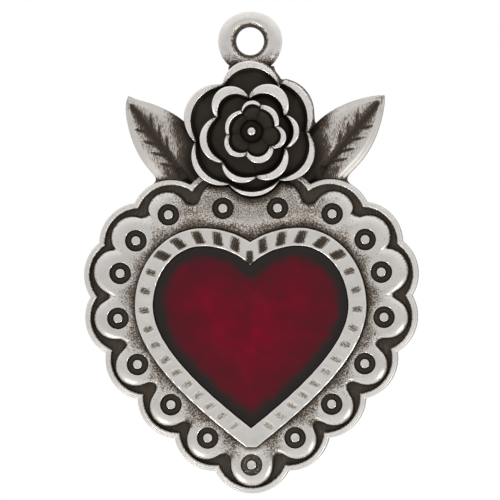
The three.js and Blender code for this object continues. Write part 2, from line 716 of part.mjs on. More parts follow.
const heartGroup = new THREE.Group();
heartGroup.position.y = -eyeRise;
heartGroup.add(
  piece('back_plate', toGeometry(backPlate()), pewter),
  piece('scalloped_rim', toGeometry(rimSolid()), pewter),
  piece('lobed_border', toGeometry(borderSolid()), pewter),
  piece('heart_bezel', toGeometry(bezelSolid()), pewter),
  piece('enamel_heart', enamelGeometry(), redEnamel),
);
for (const leaf of LEAVES) {
  heartGroup.add(piece(leaf.name, toGeometry(leafSolid(leaf)), pewter));
}

const roseGroup = new THREE.Group();
roseGroup.position.set(roseCentre.x, roseCentre.y - eyeRise, 0);
let level = SEAT_LEVEL + SEAM;
for (const whorl of WHORLS) {
  for (const petal of petalsOf(whorl)) {
    const shape = petalGeometry(whorl, level, petal);
    const mesh = piece(`${whorl.name}_petal_${petal.name}`, shape, pewter);
    mesh.rotation.z = petal.middle;
    roseGroup.add(mesh);
  }
  level += PETAL_FLOOR + SEAM;
}
roseGroup.add(
  piece('rose_washer', washerGeometry(level), darkPewter),
  piece('rose_pin', pinGeometry(level + WASHER_HEIGHT + PIN_RADIUS / 2), pewter),
);

const pendant = new THREE.Group();
pendant.rotation.x = Math.PI / 2;
pendant.add(piece('hanging_ring', ringTorus(RING_WIRE / 2), pewter), heartGroup, roseGroup);

export default pendant;
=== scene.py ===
import math

import bpy
import numpy as np
from mathutils import Matrix, Vector


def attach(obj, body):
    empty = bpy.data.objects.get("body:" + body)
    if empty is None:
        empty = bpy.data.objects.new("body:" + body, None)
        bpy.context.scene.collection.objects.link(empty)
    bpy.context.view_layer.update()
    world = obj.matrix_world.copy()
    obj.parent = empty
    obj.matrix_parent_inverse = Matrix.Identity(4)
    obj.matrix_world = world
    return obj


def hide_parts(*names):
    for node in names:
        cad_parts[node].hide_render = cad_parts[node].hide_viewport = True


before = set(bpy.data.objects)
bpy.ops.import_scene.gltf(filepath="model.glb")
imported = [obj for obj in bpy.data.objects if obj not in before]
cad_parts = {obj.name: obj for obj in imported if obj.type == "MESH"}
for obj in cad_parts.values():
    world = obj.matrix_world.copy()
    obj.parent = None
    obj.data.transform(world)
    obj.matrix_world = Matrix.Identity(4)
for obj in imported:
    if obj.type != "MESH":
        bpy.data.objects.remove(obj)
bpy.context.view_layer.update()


# The heart's bezel is a flat strip of cast pewter round the opening, soldered to the back
# plate. Its top was trued with a file, then notched with a graver held square to the outline.

EYE_RISE = 20.95  # from the heart's widest line up to the hanging ring's centre
PLATE = 0.8
SEAM = 0.03  # of solder between two pieces

APEX = (3.8, 4.75)  # top of the right shoulder
CLEFT_RISE = 3.25
HALF_HEART = 7.75
TIP_DROP = 9.68
SIDE_PULL = ((HALF_HEART, -3.16), (3.7, 2.94 - TIP_DROP))  # steers the curve down to the tip
BEZEL_WIDTH = 1.44
BEZEL_TOP = 2.3
BEZEL_EDGE = 0.13
TIP_CUT = 1.05  # of the bezel's width
SCOOPS = 17  # down each side

# Half length across the bezel, half width and depth of a scoop
SHOULDER_SCOOP = (0.54, 0.52, 0.05)
SIDE_SCOOP = (0.5, 0.36, 0.03)
CLEFT_HALF_WIDTH = 0.36
SCOOP_OXIDE = ([0, 0.28, 0.38, 0.6, 1], [1.04, 1.1, 0.86, 0.66, 0.5])  # by share of the outline
FACET = 0.045  # depth of the facet that tilts the metal round a scoop
GRAVER_LINES = (0.19, 0.21)  # mm between the lines that the graver left: shoulder, side


def smooth(value, low, high):
    """0 below low, 1 above high, and an S-shaped rise between them."""
    t = np.clip((value - low) / (high - low), 0, 1)
    return t * t * (3 - 2 * t)


def fade(value, low, high):
    """1 below low, 0 above high."""
    return 1 - smooth(value, low, high)


def in_frame(x, y, level):
    """Points drawn lying down, in mm, set upright in the frame, in metres."""
    return np.stack([x, -level, y - EYE_RISE], -1) * 0.001


def polar(hub, reach, turn):
    """Places at a reach from a hub, in the direction of a turn."""
    return hub[0] + reach * np.cos(turn), hub[1] + reach * np.sin(turn)


def full_turn(count):
    """Directions in even steps all round."""
    return np.linspace(0, 2 * math.pi, count, endpoint=False)


def distances(points):
    """Distance along a path to each of its points."""
    return np.append(0, np.cumsum(np.linalg.norm(np.diff(points, axis=0), axis=1)))


def on_path(at, marks, points):
    """Places on a path, between the marks that its points carry."""
    return np.stack([np.interp(at, marks, points[:, i]) for i in (0, 1)], -1)


def half_outline(step=0.01):
    """Right half of the heart from the cleft to the tip: a circle's arc up to the shoulder's
    top, a quarter ellipse to the widest point, and a cubic curve down to the tip."""
    fall = APEX[1] - CLEFT_RISE
    radius = (APEX[0] ** 2 + fall ** 2) / (2 * fall)
    turn = np.linspace(math.pi - math.acos(APEX[0] / radius), math.pi / 2, 400)
    arc = np.stack([APEX[0] + radius * np.cos(turn), APEX[1] + radius * (np.sin(turn) - 1)], -1)
    turn = np.linspace(math.pi / 2, 0, 600)[1:]
    side = APEX[0] + (HALF_HEART - APEX[0]) * np.cos(turn)
    ellipse = np.stack([side, APEX[1] * np.sin(turn)], -1)
    t = np.linspace(0, 1, 900)[1:, None]
    a, b, c, d = np.array([(HALF_HEART, 0.0), *SIDE_PULL, (0.0, -TIP_DROP)])
    curve = (1 - t) ** 3 * a + 3 * t * (1 - t) ** 2 * b + 3 * t * t * (1 - t) * c + t ** 3 * d
    points = np.concatenate([arc, ellipse, curve])
    length = distances(points)
    along = np.linspace(0, 1, int(length[-1] / step))
    return along, on_path(along * length[-1], length, points)


ALONG, OUTLINE = half_outline()
TANGENT = np.gradient(OUTLINE, axis=0)
TANGENT /= np.linalg.norm(TANGENT, axis=1, keepdims=True)
NORMAL = np.stack([-TANGENT[:, 1], TANGENT[:, 0]], -1)


def heart_at(along, out):
    """Places at shares of the half outline, moved outward; straight down at the very tip."""
    normal = on_path(along, ALONG, NORMAL)
    normal[along >= 1] = (0, -1)
    return on_path(along, ALONG, OUTLINE) + normal * np.reshape(out, (-1, 1))


def heart_loop(out, count):
    """The whole heart outline moved outward, clockwise from the cleft in even steps. The cleft
    opens into an arc or is cut off on the centre line; the tip is a mitre whose point is cut
    off a little below the width of the strip."""
    first_turn = math.atan2(NORMAL[0, 1], NORMAL[0, 0])
    last_turn = math.atan2(NORMAL[-2, 1], NORMAL[-2, 0])
    fan = np.linspace(math.pi / 2, first_turn, 16)
    last_fan = np.linspace(last_turn, -math.pi / 2, 16)
    mitre = np.stack([np.cos(last_fan), np.sin(last_fan)], -1)
    mitre = out / np.cos(last_fan - last_turn)[:, None] * mitre
    mitre[:, 1] = np.maximum(mitre[:, 1], -TIP_CUT * abs(out))
    path = np.concatenate([
        OUTLINE[0] + out * np.stack([np.cos(fan), np.sin(fan)], -1),
        OUTLINE + out * NORMAL,
        OUTLINE[-1] + mitre])
    right = path[:, 0] > 1e-6
    widest = int(np.argmax(path[:, 0]))
    first = widest - int(np.argmin(right[widest::-1])) + 1
    last = widest + int(np.argmin(right[widest:])) - 1
    ends = []
    for a, b in ((path[first - 1], path[first]), (path[last], path[last + 1])):
        ends.append([0, a[1] + (b[1] - a[1]) * a[0] / (a[0] - b[0])])
    half = np.concatenate([[ends[0]], path[first:last + 1], [ends[1]]])
    length = distances(half)
    half = on_path(np.linspace(0, length[-1], count // 2 + 1), length, half)
    return np.concatenate([half, half[-2:0:-1] * (-1, 1)])


def shell(name, points, mark=0, key="oxide", joined=False):
    """A closed skin over rows of points, each row closed on itself. Joined rows make a ring;
    otherwise a fan round its middle closes the first and the last row. The mark, a number
    for every point, is kept as the attribute that the key names."""
    rows, columns = points.shape[:2]
    index = np.arange(rows * columns).reshape(rows, columns)
    low, high = (index, np.roll(index, -1, 0)) if joined else (index[:-1], index[1:])
    quads = np.stack([low, np.roll(low, -1, 1), np.roll(high, -1, 1), high], -1).reshape(-1, 4)
    vertices = points.reshape(-1, 3)
    mark = np.broadcast_to(mark, index.shape).reshape(-1)
    fans = []
    if not joined:
        for row, turn in ((0, 1), (-1, -1)):
            ring = index[row][::turn]
            middle = np.full(columns, len(vertices))
            fans.append(np.stack([np.roll(ring, -1), ring, middle], -1))
            vertices = np.append(vertices, points[row].mean(0)[None], 0)
            mark = np.append(mark, mark[index[row]].mean())
    a, b, c = vertices[np.concatenate([quads[:, :3], quads[:, [0, 2, 3]], *fans]).T]
    faces = quads.tolist() + [face for fan in fans for face in fan.tolist()]
    if np.sum(a * np.cross(b, c)) < 0:
        faces = [face[::-1] for face in faces]
    mesh = bpy.data.meshes.new(name)
    mesh.from_pydata(vertices.tolist(), [], faces)
    mesh.polygons.foreach_set("use_smooth", np.ones(len(mesh.polygons), bool))
    attribute = mesh.attributes.new(key, "FLOAT", "POINT")
    attribute.data.foreach_set("value", mark.astype(np.float32))
    piece = bpy.data.objects.new(name, mesh)
    bpy.context.scene.collection.objects.link(piece)
    return piece


def linear(hex_colour):
    """An sRGB hex colour as linear red, green, blue and alpha."""
    values = [int(hex_colour[i:i + 2], 16) / 255 for i in (1, 3, 5)]
    return [v / 12.92 if v <= 0.04045 else ((v + 0.055) / 1.055) ** 2.4 for v in values] + [1.0]


def add(tree, kind, settings=None, out=0, **links):
    """Adds a node and returns one of its outputs. Settings are its own values, links its
    inputs: a value or a socket."""
    node = tree.nodes.new("ShaderNode" + kind)
    for key, value in (settings or {}).items():
        setattr(node, key, value)
    for key, value in links.items():
        by_number = key[0] == "i" and key[1:].isdigit()
        socket = node.inputs[int(key[1:]) if by_number else key.replace("_", " ")]
        if isinstance(value, bpy.types.NodeSocket):
            tree.links.new(value, socket)
        else:
            socket.default_value = value
    return node.outputs[out] if node.outputs else node


def new_material(name):
    """An empty node material and its tree."""
    material = bpy.data.materials.new(name)
    material.use_nodes = True
    material.node_tree.nodes.clear()
    return material, material.node_tree


def ramp_colours(colour, stops):
    """Sets the ramp behind a colour output from (place, colour) stops."""
    ramp = colour.node.color_ramp
    while len(ramp.elements) < len(stops):
        ramp.elements.new(1.0)
    for element, (place, hex_colour) in zip(ramp.elements, stops):
        element.position = place
        element.color = linear(hex_colour)
    return colour


def antique_pewter(name, bright, satin=0.22, brushing=None, deep="#4a423b", grain=1.7):
    """Cast pewter dipped in a black oxide bath, then rubbed back. Raised parts are pale and
    satin, hollows brown-black and dull, and between them oxide is left in the pits of the
    cast skin as fine speckle: none at an attribute oxide of 0, a brown film at 1, near black
    at 1.5. The pits are 0.11 mm across, about twice as coarse as real ones. Satin is the bare
    metal's roughness, deep the film's colour, grain the reach of the speckle."""
    material, tree = new_material(name)
    place = add(tree, "TexCoord", out="Object")
    if brushing:
        turn, stretch = brushing
        place = add(tree, "Mapping", Vector=place, Rotation=turn, Scale=stretch)
    oxide = add(tree, "Attribute", {"attribute_name": "oxide"}, "Fac")
    pits = add(tree, "TexNoise", Vector=place, Scale=1 / 0.00011, Detail=2.0, Roughness=0.65)
    patches = add(tree, "TexNoise", Vector=place, Scale=900.0, Detail=3.0, Roughness=0.6)
    spread = add(tree, "Math", {"operation": "MULTIPLY_ADD"}, i0=pits, i1=grain, i2=-grain / 2)
    cloud = add(tree, "Math", {"operation": "MULTIPLY_ADD"}, i0=patches, i1=0.5, i2=-0.25)
    left = add(tree, "Math", {"operation": "ADD"}, i0=oxide, i1=spread)
    left = add(tree, "Math", {"operation": "ADD"}, i0=left, i1=cloud)
    speckle = add(tree, "MapRange", {"interpolation_type": "SMOOTHSTEP"}, Value=left, From_Min=0.16,
                  From_Max=0.95)
    thick = add(tree, "MapRange", Value=oxide, From_Min=1.0, From_Max=1.5, To_Max=0.2)
    depth = add(tree, "Math", {"operation": "MULTIPLY_ADD"}, i0=speckle, i1=0.8, i2=thick)
    film = ramp_colours(add(tree, "ValToRGB", Fac=depth), [
        (0.0, bright), (0.26, "#aba49b"), (0.54, "#766c62"), (0.8, deep), (1.0, "#15120f")])
    cloudy = add(tree, "MapRange", Value=patches, From_Min=0.3, From_Max=0.7, To_Min=0.9,
                 To_Max=1.04)
    colour = add(tree, "Mix", {"data_type": "RGBA", "blend_type": "MULTIPLY"}, 2, Factor=1.0,
                 i6=film, i7=cloudy)
    dull = add(tree, "MapRange", Value=speckle, To_Min=satin, To_Max=0.6)
    skin = add(tree, "TexNoise", Vector=place, Scale=1 / 0.00006, Detail=1.0)
    bump = add(tree, "Bump", Height=skin, Strength=0.07, Distance=0.00002)
    metal = add(tree, "BsdfPrincipled", Base_Color=colour, Metallic=1.0, Roughness=dull,
                Normal=bump)
    add(tree, "OutputMaterial", Surface=metal)
    return material


# As cast and rubbed back: the plain finish of border, pin, washer and ring
PEWTER = antique_pewter("antiqued_cast_pewter", "#d6d3cf")


def place_piece(piece, material, slot, *nodes):
    """Gives a finished piece its material and hands it to the frame: it rides on the one body
    and stands for its nodes."""
    piece.data.materials.append(material)
    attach(piece, "root")
    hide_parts(*nodes)


def scoop_cuts(points):
    """How deep the scoops cut at points, in mm, and how much dark they hold: oxide, and painted
    shade. A scoop is a trough across the bezel with soft ends, sheared so that its outer end
    lies further from the cleft, on a facet that tilts the metal round it. The first stands in
    the cleft; cut by eye, those on the left start a little further out. The five on each
    shoulder are broad and dark with oxide, most of all toward the cleft, and painted darker on
    one side as shade; those down the side are oxide smudges in a faint halo of painted shade
    off one side."""
    number = np.arange(SCOOPS + 1)
    along = (number + 0.54 * np.sin(np.pi * number / (SCOOPS + 1))) / (SCOOPS + 1)
    broad = fade(along, 0.3, 0.35)
    length, width, depth = (
        broad * a + (1 - broad) * b for a, b in zip(SHOULDER_SCOOP, SIDE_SCOOP))
    width[0] = CLEFT_HALF_WIDTH
    shade = np.interp(along, *SCOOP_OXIDE)
    side_lean = 0.08 * np.sin(number * 2.4) - 0.25 * smooth(along, 0.4, 0.8)
    lean = 0.36 * broad + (1 - broad) * side_lean
    lean[0] = 0
    cut, dark = np.zeros(points.shape[:-1]), np.zeros(points.shape[:-1])
    for side, push in ((1, 0.013), (-1, 0.024)):
        shifted = along + push * np.exp(-number / 2.3)
        spots = heart_at(shifted, BEZEL_WIDTH / 2)
        aim = on_path(shifted, ALONG, NORMAL)
        spots[0], aim[0] = (-0.05 * side, CLEFT_RISE + BEZEL_WIDTH * 0.42), (0, 1)
        offset = points[..., None, :] - spots * (side, 1)
        facing = aim * (side, 1)
        across = (offset * facing).sum(-1)
        beside = side * (offset[..., 0] * facing[:, 1] - offset[..., 1] * facing[:, 0])
        beside = beside - lean * across
        from_line, from_middle = np.abs(beside), np.abs(across)
        end = fade(from_middle / length, 0.35, 1.25)
        trough = fade(from_line / width, 0.25, 1.15)
        facet = FACET * fade(np.abs(beside - 0.12), 0, 0.6)
        cut = np.maximum(cut, (depth * end * trough + facet).max(-1))
        lines = 2 * np.pi * (beside + 0.25 * across) / GRAVER_LINES[0]
        core = fade(from_line / width, 0.3, 1.2) * (0.95 + 0.17 * np.sin(lines))
        core = core * fade(from_middle / length, 0.75, 1.2)
        # Painted shade: a shoulder scoop is darker toward one side and toward its inner end.
        core = core * (1.12 - 0.34 * smooth(beside, -0.2, 0.5) - 0.2 * smooth(across, -0.1, 0.6))
        lines = 2 * np.pi * (beside - 0.15 * across) / GRAVER_LINES[1]
        smudge = fade(from_line, 0.1, 0.42) * fade(from_middle, 0.22, 0.6)
        smudge = smudge * (0.84 + 0.16 * np.cos(lines))
        # Painted shade: a faint dark band off one side of each side scoop, where its facet is
        # shaded.
        halo = fade(np.abs(beside + 0.2), 0.1, 0.7)
        halo = 0.2 * halo * fade(from_middle, 0.4, 0.7)
        film = shade * (broad * core + (1 - broad) * np.maximum(smudge, halo))
        dark = np.maximum(dark, film.max(-1))
    return cut, dark


def bezel_points(columns=1500, across=26):
    """A profile of (out, level) carried along the heart outline: up the inner wall, over a
    rounded edge, across the flat top with its scoops, and down the outer wall. Oxide is left
    in the scoops, with painted shade beside them, and low on both walls."""
    turn = np.linspace(0, math.pi / 2, 5)
    lift, reach = BEZEL_EDGE * np.sin(turn), BEZEL_EDGE * (1 - np.cos(turn))
    flat = np.linspace(BEZEL_EDGE, BEZEL_WIDTH - BEZEL_EDGE, across)[1:-1]
    out = np.concatenate([[0, 0], reach, flat, BEZEL_WIDTH - reach[::-1], [BEZEL_WIDTH] * 2])
    wall = BEZEL_TOP - BEZEL_EDGE
    level = np.concatenate([[PLATE + SEAM, 1.9], wall + lift, np.full(len(flat), BEZEL_TOP),
                            wall + lift[::-1], [1.6, PLATE + SEAM]])
    plan = np.stack([heart_loop(o, columns) for o in out])
    cut, dark = scoop_cuts(plan)
    level = level[:, None] - cut * smooth(level[:, None], wall - 0.02, BEZEL_TOP)
    outer = (out > BEZEL_WIDTH / 2)[:, None]
    foot = np.where(outer, fade(level, 1.5, 2.1), fade(level, 1.9, 2.12))
    oxide = np.maximum(np.maximum(foot, dark), 0.05)
    return in_frame(plan[..., 0], plan[..., 1], level), oxide


# Filed flat: an even satin grey with little speckle
FILED = antique_pewter("filed_pewter_strip", "#d6d3cf", satin=0.3, grain=1.2)
bezel = shell("heart_bezel_notched", *bezel_points(), joined=True)
place_piece(bezel, FILED, "pewter", "heart_bezel")


# The enamel is deep red glass melted in the heart and left lower than the bezel. It draws up
# a little at the wall, and the antiquing has stained it brown-black in a band along the edge.

ENAMEL_TOP = 1.95
ENAMEL_MIDDLE = (0, -1.2)
DRAW_UP = 0.07  # along the wall, above the flat level
STAIN = 1.25  # width of the dark band


def nearest(plan, places):
    """Distance from every point in the rows of a plan to the nearest of the places."""
    return np.stack([np.linalg.norm(row[:, None] - places, axis=-1).min(-1) for row in plan])


def enamel_points(columns=420, rings=46):
    """Rings of the heart outline that shrink evenly to a point below the cleft. The level is
    flat, with the edge drawn up along the wall."""
    edge = heart_loop(-SEAM, columns)
    middle = np.array(ENAMEL_MIDDLE)
    share = 1 - np.linspace(0, 0.985, rings) ** 1.15
    top = middle + (edge - middle) * share[:, None, None]
    distance = nearest(top, edge)
    sag = DRAW_UP * smooth(distance, 0, 0.55)
    plan = np.concatenate([[middle + (edge - middle) * 0.02, edge, edge], top])
    level = np.concatenate([np.full((2, columns), PLATE + SEAM), np.full((1, columns), 1.6),
                            ENAMEL_TOP - sag])
    gap = np.concatenate([np.zeros((3, columns)), distance])
    return in_frame(plan[..., 0], plan[..., 1], level), gap


def stained_enamel():
    """Transparent red enamel over a dark ground: glossy but lightly worn, so that the sheen is
    broad; mottled where the glass is thick, and stained near the wall. The mottling is some
    2 mm across, the brown stain follows the attribute gap, the distance from the wall in mm."""
    material, tree = new_material("deep_red_enamel")
    place = add(tree, "TexCoord", out="Object")
    gap = add(tree, "Attribute", {"attribute_name": "gap"}, "Fac")
    mottle = add(tree, "TexNoise", Vector=place, Scale=520.0, Detail=3.0, Roughness=0.6)
    fine = add(tree, "TexNoise", Vector=place, Scale=2600.0, Detail=2.0, Roughness=0.6)
    red = ramp_colours(add(tree, "ValToRGB", Fac=mottle), [
        (0.3, "#650a1f"), (0.5, "#770522"), (0.7, "#880324")])
    shift = add(tree, "Math", {"operation": "MULTIPLY_ADD"}, i0=mottle, i1=1.2, i2=-0.6)
    shift = add(tree, "Math", {"operation": "MULTIPLY_ADD"}, i0=fine, i1=0.35, i2=shift)
    reach = add(tree, "Math", {"operation": "ADD"}, i0=gap, i1=shift)
    clear = add(tree, "MapRange", {"interpolation_type": "SMOOTHSTEP"}, Value=reach, From_Min=0.6,
                From_Max=STAIN + 0.25)
    deep = add(tree, "MapRange", Value=reach, From_Min=1.2, From_Max=5.0, To_Min=0.2, To_Max=1.0)
    red = add(tree, "Mix", {"data_type": "RGBA"}, 2, Factor=deep, i6=linear("#521620"), i7=red)
    colour = add(tree, "Mix", {"data_type": "RGBA"}, 2, Factor=clear, i6=linear("#2b2725"), i7=red)
    wear = add(tree, "MapRange", Value=fine, To_Min=0.24, To_Max=0.38)
    ripple = add(tree, "Bump", Height=mottle, Strength=0.1, Distance=0.00004)
    glass = add(tree, "BsdfPrincipled", Base_Color=colour, Roughness=wear, IOR=1.5, Normal=ripple,
                Specular_IOR_Level=0.12)
    add(tree, "OutputMaterial", Surface=glass)
    return material


enamel = shell("enamel_heart_poured", *enamel_points(), "gap")
place_piece(enamel, stained_enamel(), "red_enamel", "enamel_heart")


# The rose has three whorls of six spoon-shaped cast petals threaded on a pin. Each stands up
# from a flat root to a thick rolled lip, rubbed bright; the cup behind it keeps its oxide.

SEAT = 1.6
ROSE = (0.2, 13.82)  # its axis
PETAL_FLOOR = 0.25
PETAL_GAP = 0.12  # degrees
PETAL_ROOT = 0.46
LIP_SPREAD = 1.15  # of the rolled lip beyond its plain width
CUP_OXIDE = 1.13

# Whorl: name, height, lean of the wall, height of the lip above the floor and share of its
# width at the cusps, flare, and its petals: name, start angle, radius at the start cusp,
# radius at the crest, lip width; the first has a radius at its end of its own
WHORLS = [
    ("outer", 0.87, 0.5, 0.32, 0.3, 0.2, [
        ("upper_right", -1, 4.5, 5.4, 0.62, 4.95), ("top", 58, 4.32, 5.68, 0.56),
        ("upper_left", 122, 4.46, 5.62, 0.52), ("lower_left", 190, 4.65, 5.48, 0.44),
        ("bottom", 246, 4.6, 5.14, 0.32), ("lower_right", 299, 4.45, 5.44, 0.5)]),
    ("middle", 1.2, 0.45, 0.32, 0.3, 0, [
        ("upper_right", 25, 3.1, 4.11, 0.72), ("upper_left", 95, 2.85, 4.15, 0.64),
        ("left", 158, 3.16, 4.19, 0.5), ("lower_left", 226, 3.5, 4.19, 0.42),
        ("lower_right", 275, 3.71, 4.15, 0.54), ("right", 334, 3.08, 3.79, 0.4)]),
    ("inner", 1.35, 0.3, 0.85, 0.72, 0, [
        ("upper_right", 10, 2.2, 2.49, 0.38), ("top", 69, 2.24, 2.42, 0.26),
        ("left", 115, 1.85, 2.12, 0.3), ("lower_left", 188, 2.0, 2.49, 0.36),
        ("bottom", 257, 1.98, 2.65, 0.46), ("right", 322, 2.25, 2.84, 0.38)]),
]


def petal_arc(petal, following, count):
    """Angles and radii of a petal's lip about the rose's axis: the arc of the circle through
    its two cusps and its crest, all taken as complex numbers with the crest on +x."""
    start, cusp, crest = petal[1:4]
    end_cusp = (petal[5:] or following[2:])[0]
    sector = (following[1] - start) % 360
    half = math.radians(sector / 2 - PETAL_GAP)
    start_at, end_at = cusp * np.exp(-1j * half), end_cusp * np.exp(1j * half)
    p, q = crest - start_at, end_at - start_at
    centre = start_at + (abs(p) ** 2 * q - abs(q) ** 2 * p) / (2j * (p.conjugate() * q).imag)
    first, last = start_at - centre, end_at - centre
    bend = np.linspace(np.angle(first), np.angle(last), count)
    lip = centre + abs(first) * np.exp(1j * bend)
    return np.angle(lip) + math.radians(start + sector / 2), np.abs(lip)


def rounded(profile, rounds=2):
    """Cuts the corners of closed outlines: each side keeps its middle half, twice over."""
    for _ in range(rounds):
        after = np.roll(profile, -1, 1)
        pair = np.stack([0.75 * profile + 0.25 * after, 0.25 * profile + 0.75 * after], 2)
        profile = pair.reshape(profile.shape[0], -1, profile.shape[2])
    return profile


def petal_points(petal, following, base, height, lean, low, taper, flare, count=48):
    """Rows along the lip's arc, each a profile in the upright plane through the rose's axis:
    root, floor, wall and lip, as (radius, level, oxide). The lip is high and broad at the
    crest and low and narrow at the cusps, as the sine from end to end says."""
    turn, edge = petal_arc(petal, following, count)
    swell = np.sin(np.pi * np.linspace(0, 0.86 if petal[5:] else 1, count)) ** 0.6
    floor = base + PETAL_FLOOR
    top = floor + low + (base + height - floor - low) * swell
    lip = LIP_SPREAD * petal[4] * (taper + (1 - taper) * swell)
    lean = lean * (0.5 + 0.5 * swell)
    dull = 0.55 * (1 - swell) ** 1.4
    flare = flare * smooth(np.cos(turn - 0.6), 0.3, 0.8)
    rows = [
        (PETAL_ROOT, base, 1.4),
        (edge - lean, base, 1.3),
        (edge - 0.3 * lean, base + 0.5 * (top - base), 1.2),
        (edge, top - 0.2, 0.9),
        (edge - 0.6 * flare, top - 0.1, 3 * flare),
        (edge - flare - 0.06, top, dull),
        (edge - 0.5 * lip, top - 0.01, dull + 0.06),
        (edge - lip + 0.04, top - 0.05, dull + 0.16),
        (edge - lip, top - 0.09, dull + 0.3),
        (edge - lip - 0.04, top - 0.2, 1.1),
        (edge - lip - 0.4 * lean, floor + 0.4 * (top - floor), 1.3),
        (edge - lip - lean, floor, CUP_OXIDE),
        (PETAL_ROOT, floor, CUP_OXIDE),
    ]
    profile = np.array([[value + np.zeros(count) for value in row] for row in rows])
    reach, level, oxide = np.moveaxis(rounded(profile.transpose(2, 0, 1)), -1, 0)
    return in_frame(*polar(ROSE, reach, turn[:, None]), level), oxide


# Buffed on the lips, which are the brightest metal on the pendant
POLISHED = antique_pewter("polished_petal_pewter", "#e6e2df", satin=0.26)
base = SEAT + SEAM
for whorl, *shape, petals in WHORLS:
    for petal, following in zip(petals, petals[1:] + petals[:1]):
        skin = petal_points(petal, following, base, *shape)
        piece = shell(f"{whorl}_petal_{petal[0]}_cast", *skin)
        place_piece(piece, POLISHED, "pewter", f"{whorl}_petal_{petal[0]}")
    base += PETAL_FLOOR + SEAM


# A pin with a round head holds the petals. The head is rubbed bright; the turned washer under
# it is dished, and stays black in its hollow.

WASHER_RADIUS = 0.93
WASHER = 0.3  # thickness
PIN_RADIUS = 0.38
SHANK = 0.19
HEAD_FLATTENED = 0.7  # height of the head's upper half by its radius


def turned_points(profile, count=56):
    """A profile of (radius, level, oxide) swept round the rose's axis."""
    x, y = polar(ROSE, profile[:, :1], full_turn(count))
    return in_frame(x, y, np.broadcast_to(profile[:, 1:2], x.shape)), profile[:, 2:3]


washer_top = base + WASHER
washer_profile = rounded(np.array([[
    (SHANK + SEAM, base, 1), (WASHER_RADIUS - 0.16, base, 1), (WASHER_RADIUS, base + 0.12, 1.5),
    (WASHER_RADIUS, washer_top - 0.02, 1.5), (WASHER_RADIUS - 0.1, washer_top, 1.5),
    (WASHER_RADIUS - 0.3, washer_top - 0.14, 1.25), (SHANK + SEAM, washer_top - 0.16, 1.5)]]))[0]
washer = shell("rose_washer_turned", *turned_points(washer_profile), joined=True)
place_piece(washer, PEWTER, "dark_pewter", "rose_washer")

turn = np.linspace(150, 3, 22)
rise = np.cos(np.radians(turn)) * np.where(turn < 90, HEAD_FLATTENED, 1)
ball = np.stack([PIN_RADIUS * np.sin(np.radians(turn)),
                 washer_top + PIN_RADIUS / 2 + PIN_RADIUS * rise, smooth(turn, 92, 112)], -1)
shank = [(SHANK * 0.2, SEAT + SEAM, 1), (SHANK * 0.9, SEAT + SEAM, 1), (SHANK, SEAT + 0.06, 1)]
pin = shell("rose_pin_ball_headed", *turned_points(np.concatenate([shank, ball]), 40))
place_piece(pin, PEWTER, "pewter", "rose_pin")


# The scalloped rim is a rounded pewter wire bent into seventeen scallops and soldered along
# the plate's edge. Its crown is rubbed bright, its inner wall stands black in the channel.

RIM_WIDTH = 0.48
RIM_TOP = 1.65
CROWN = 0.2  # height of the rounded top
RIM_GROOVE = (0.2, 0.06, 0.035)  # inset, half width and depth
SCALLOP_RADIUS = 3.25
FACET_SAG = 0.001  # by which the fine curve would stand past the solids' facets

# Oxide over the crown, by share of the width from the outer side
CROWN_OXIDE = ([0, 0.06, 0.3, 0.42, 0.56, 0.7, 0.86, 1],
               [0.5, 0.05, 0.04, 0.16, 0.02, 0.1, 0.54, 0.68])

# Lobes of the right half from the cleft round to the tip: share of the heart outline, from
# the bezel out to the ring mark, the dome's radius, the channel between dome and rim, from
# the mark to the rim's crest
LOBES = np.array([
    (0.132, 1.72, 1.95, 0.45, 3.15),
    (0.237, 1.67, 1.6, 0.45, 2.75),
    (0.316, 1.68, 1.7, 0.34, 2.88),
    (0.391, 1.59, 1.8, 0.28, 2.9),
    (0.487, 1.44, 1.6, 0.26, 2.64),
    (0.604, 1.35, 1.57, 0.18, 2.47),
    (0.754, 1.35, 1.54, 0.2, 2.45),
    (0.909, 1.35, 1.54, 0.2, 2.43),
    (1, 1.48, 1.66, 0.1, 2.27),
])
lobe_along, lobe_mark, lobe_dome, lobe_channel, lobe_reach = LOBES.T


def both_sides(places, shared=True):
    """Repeats places on the left half, clockwise; the last is shared on the centre line."""
    return np.concatenate([places, places[-2 if shared else -1::-1] * (-1, 1)])


rim_crest = BEZEL_WIDTH + lobe_mark + lobe_reach - FACET_SAG
mark_centres = both_sides(heart_at(lobe_along, BEZEL_WIDTH + lobe_mark))
dome_centres = both_sides(heart_at(lobe_along, rim_crest - RIM_WIDTH - lobe_channel - lobe_dome))
scallop_centres = both_sides(heart_at(lobe_along, rim_crest - SCALLOP_RADIUS))


def clockwise_arcs(centres, radii, starts, ends, steps):
    """Arcs that run clockwise between two directions, as an array (arc, step, 2)."""
    first = np.arctan2(*(starts - centres).T[::-1])
    last = np.arctan2(*(ends - centres).T[::-1])
    turn = first[:, None] - ((first - last) % (2 * math.pi))[:, None] * steps
    return centres[:, None] + radii[..., None] * np.stack([np.cos(turn), np.sin(turn)], -1)


def scallop_loop(grow, count):
    """The scalloped outline moved outward: an arc round each centre, from the crossing with
    the circle before to the crossing with the circle after."""
    radius = SCALLOP_RADIUS + grow
    step = np.roll(scallop_centres, -1, 0) - scallop_centres
    across = np.stack([-step[:, 1], step[:, 0]], -1)
    size = np.linalg.norm(step, axis=1, keepdims=True)
    cusps = scallop_centres + step / 2 + across / size * np.sqrt(radius ** 2 - size ** 2 / 4)
    arcs = clockwise_arcs(scallop_centres, np.full((1, 1), radius), np.roll(cusps, 1, 0), cusps,
                          np.arange(count) / count)
    return arcs.reshape(-1, 2)


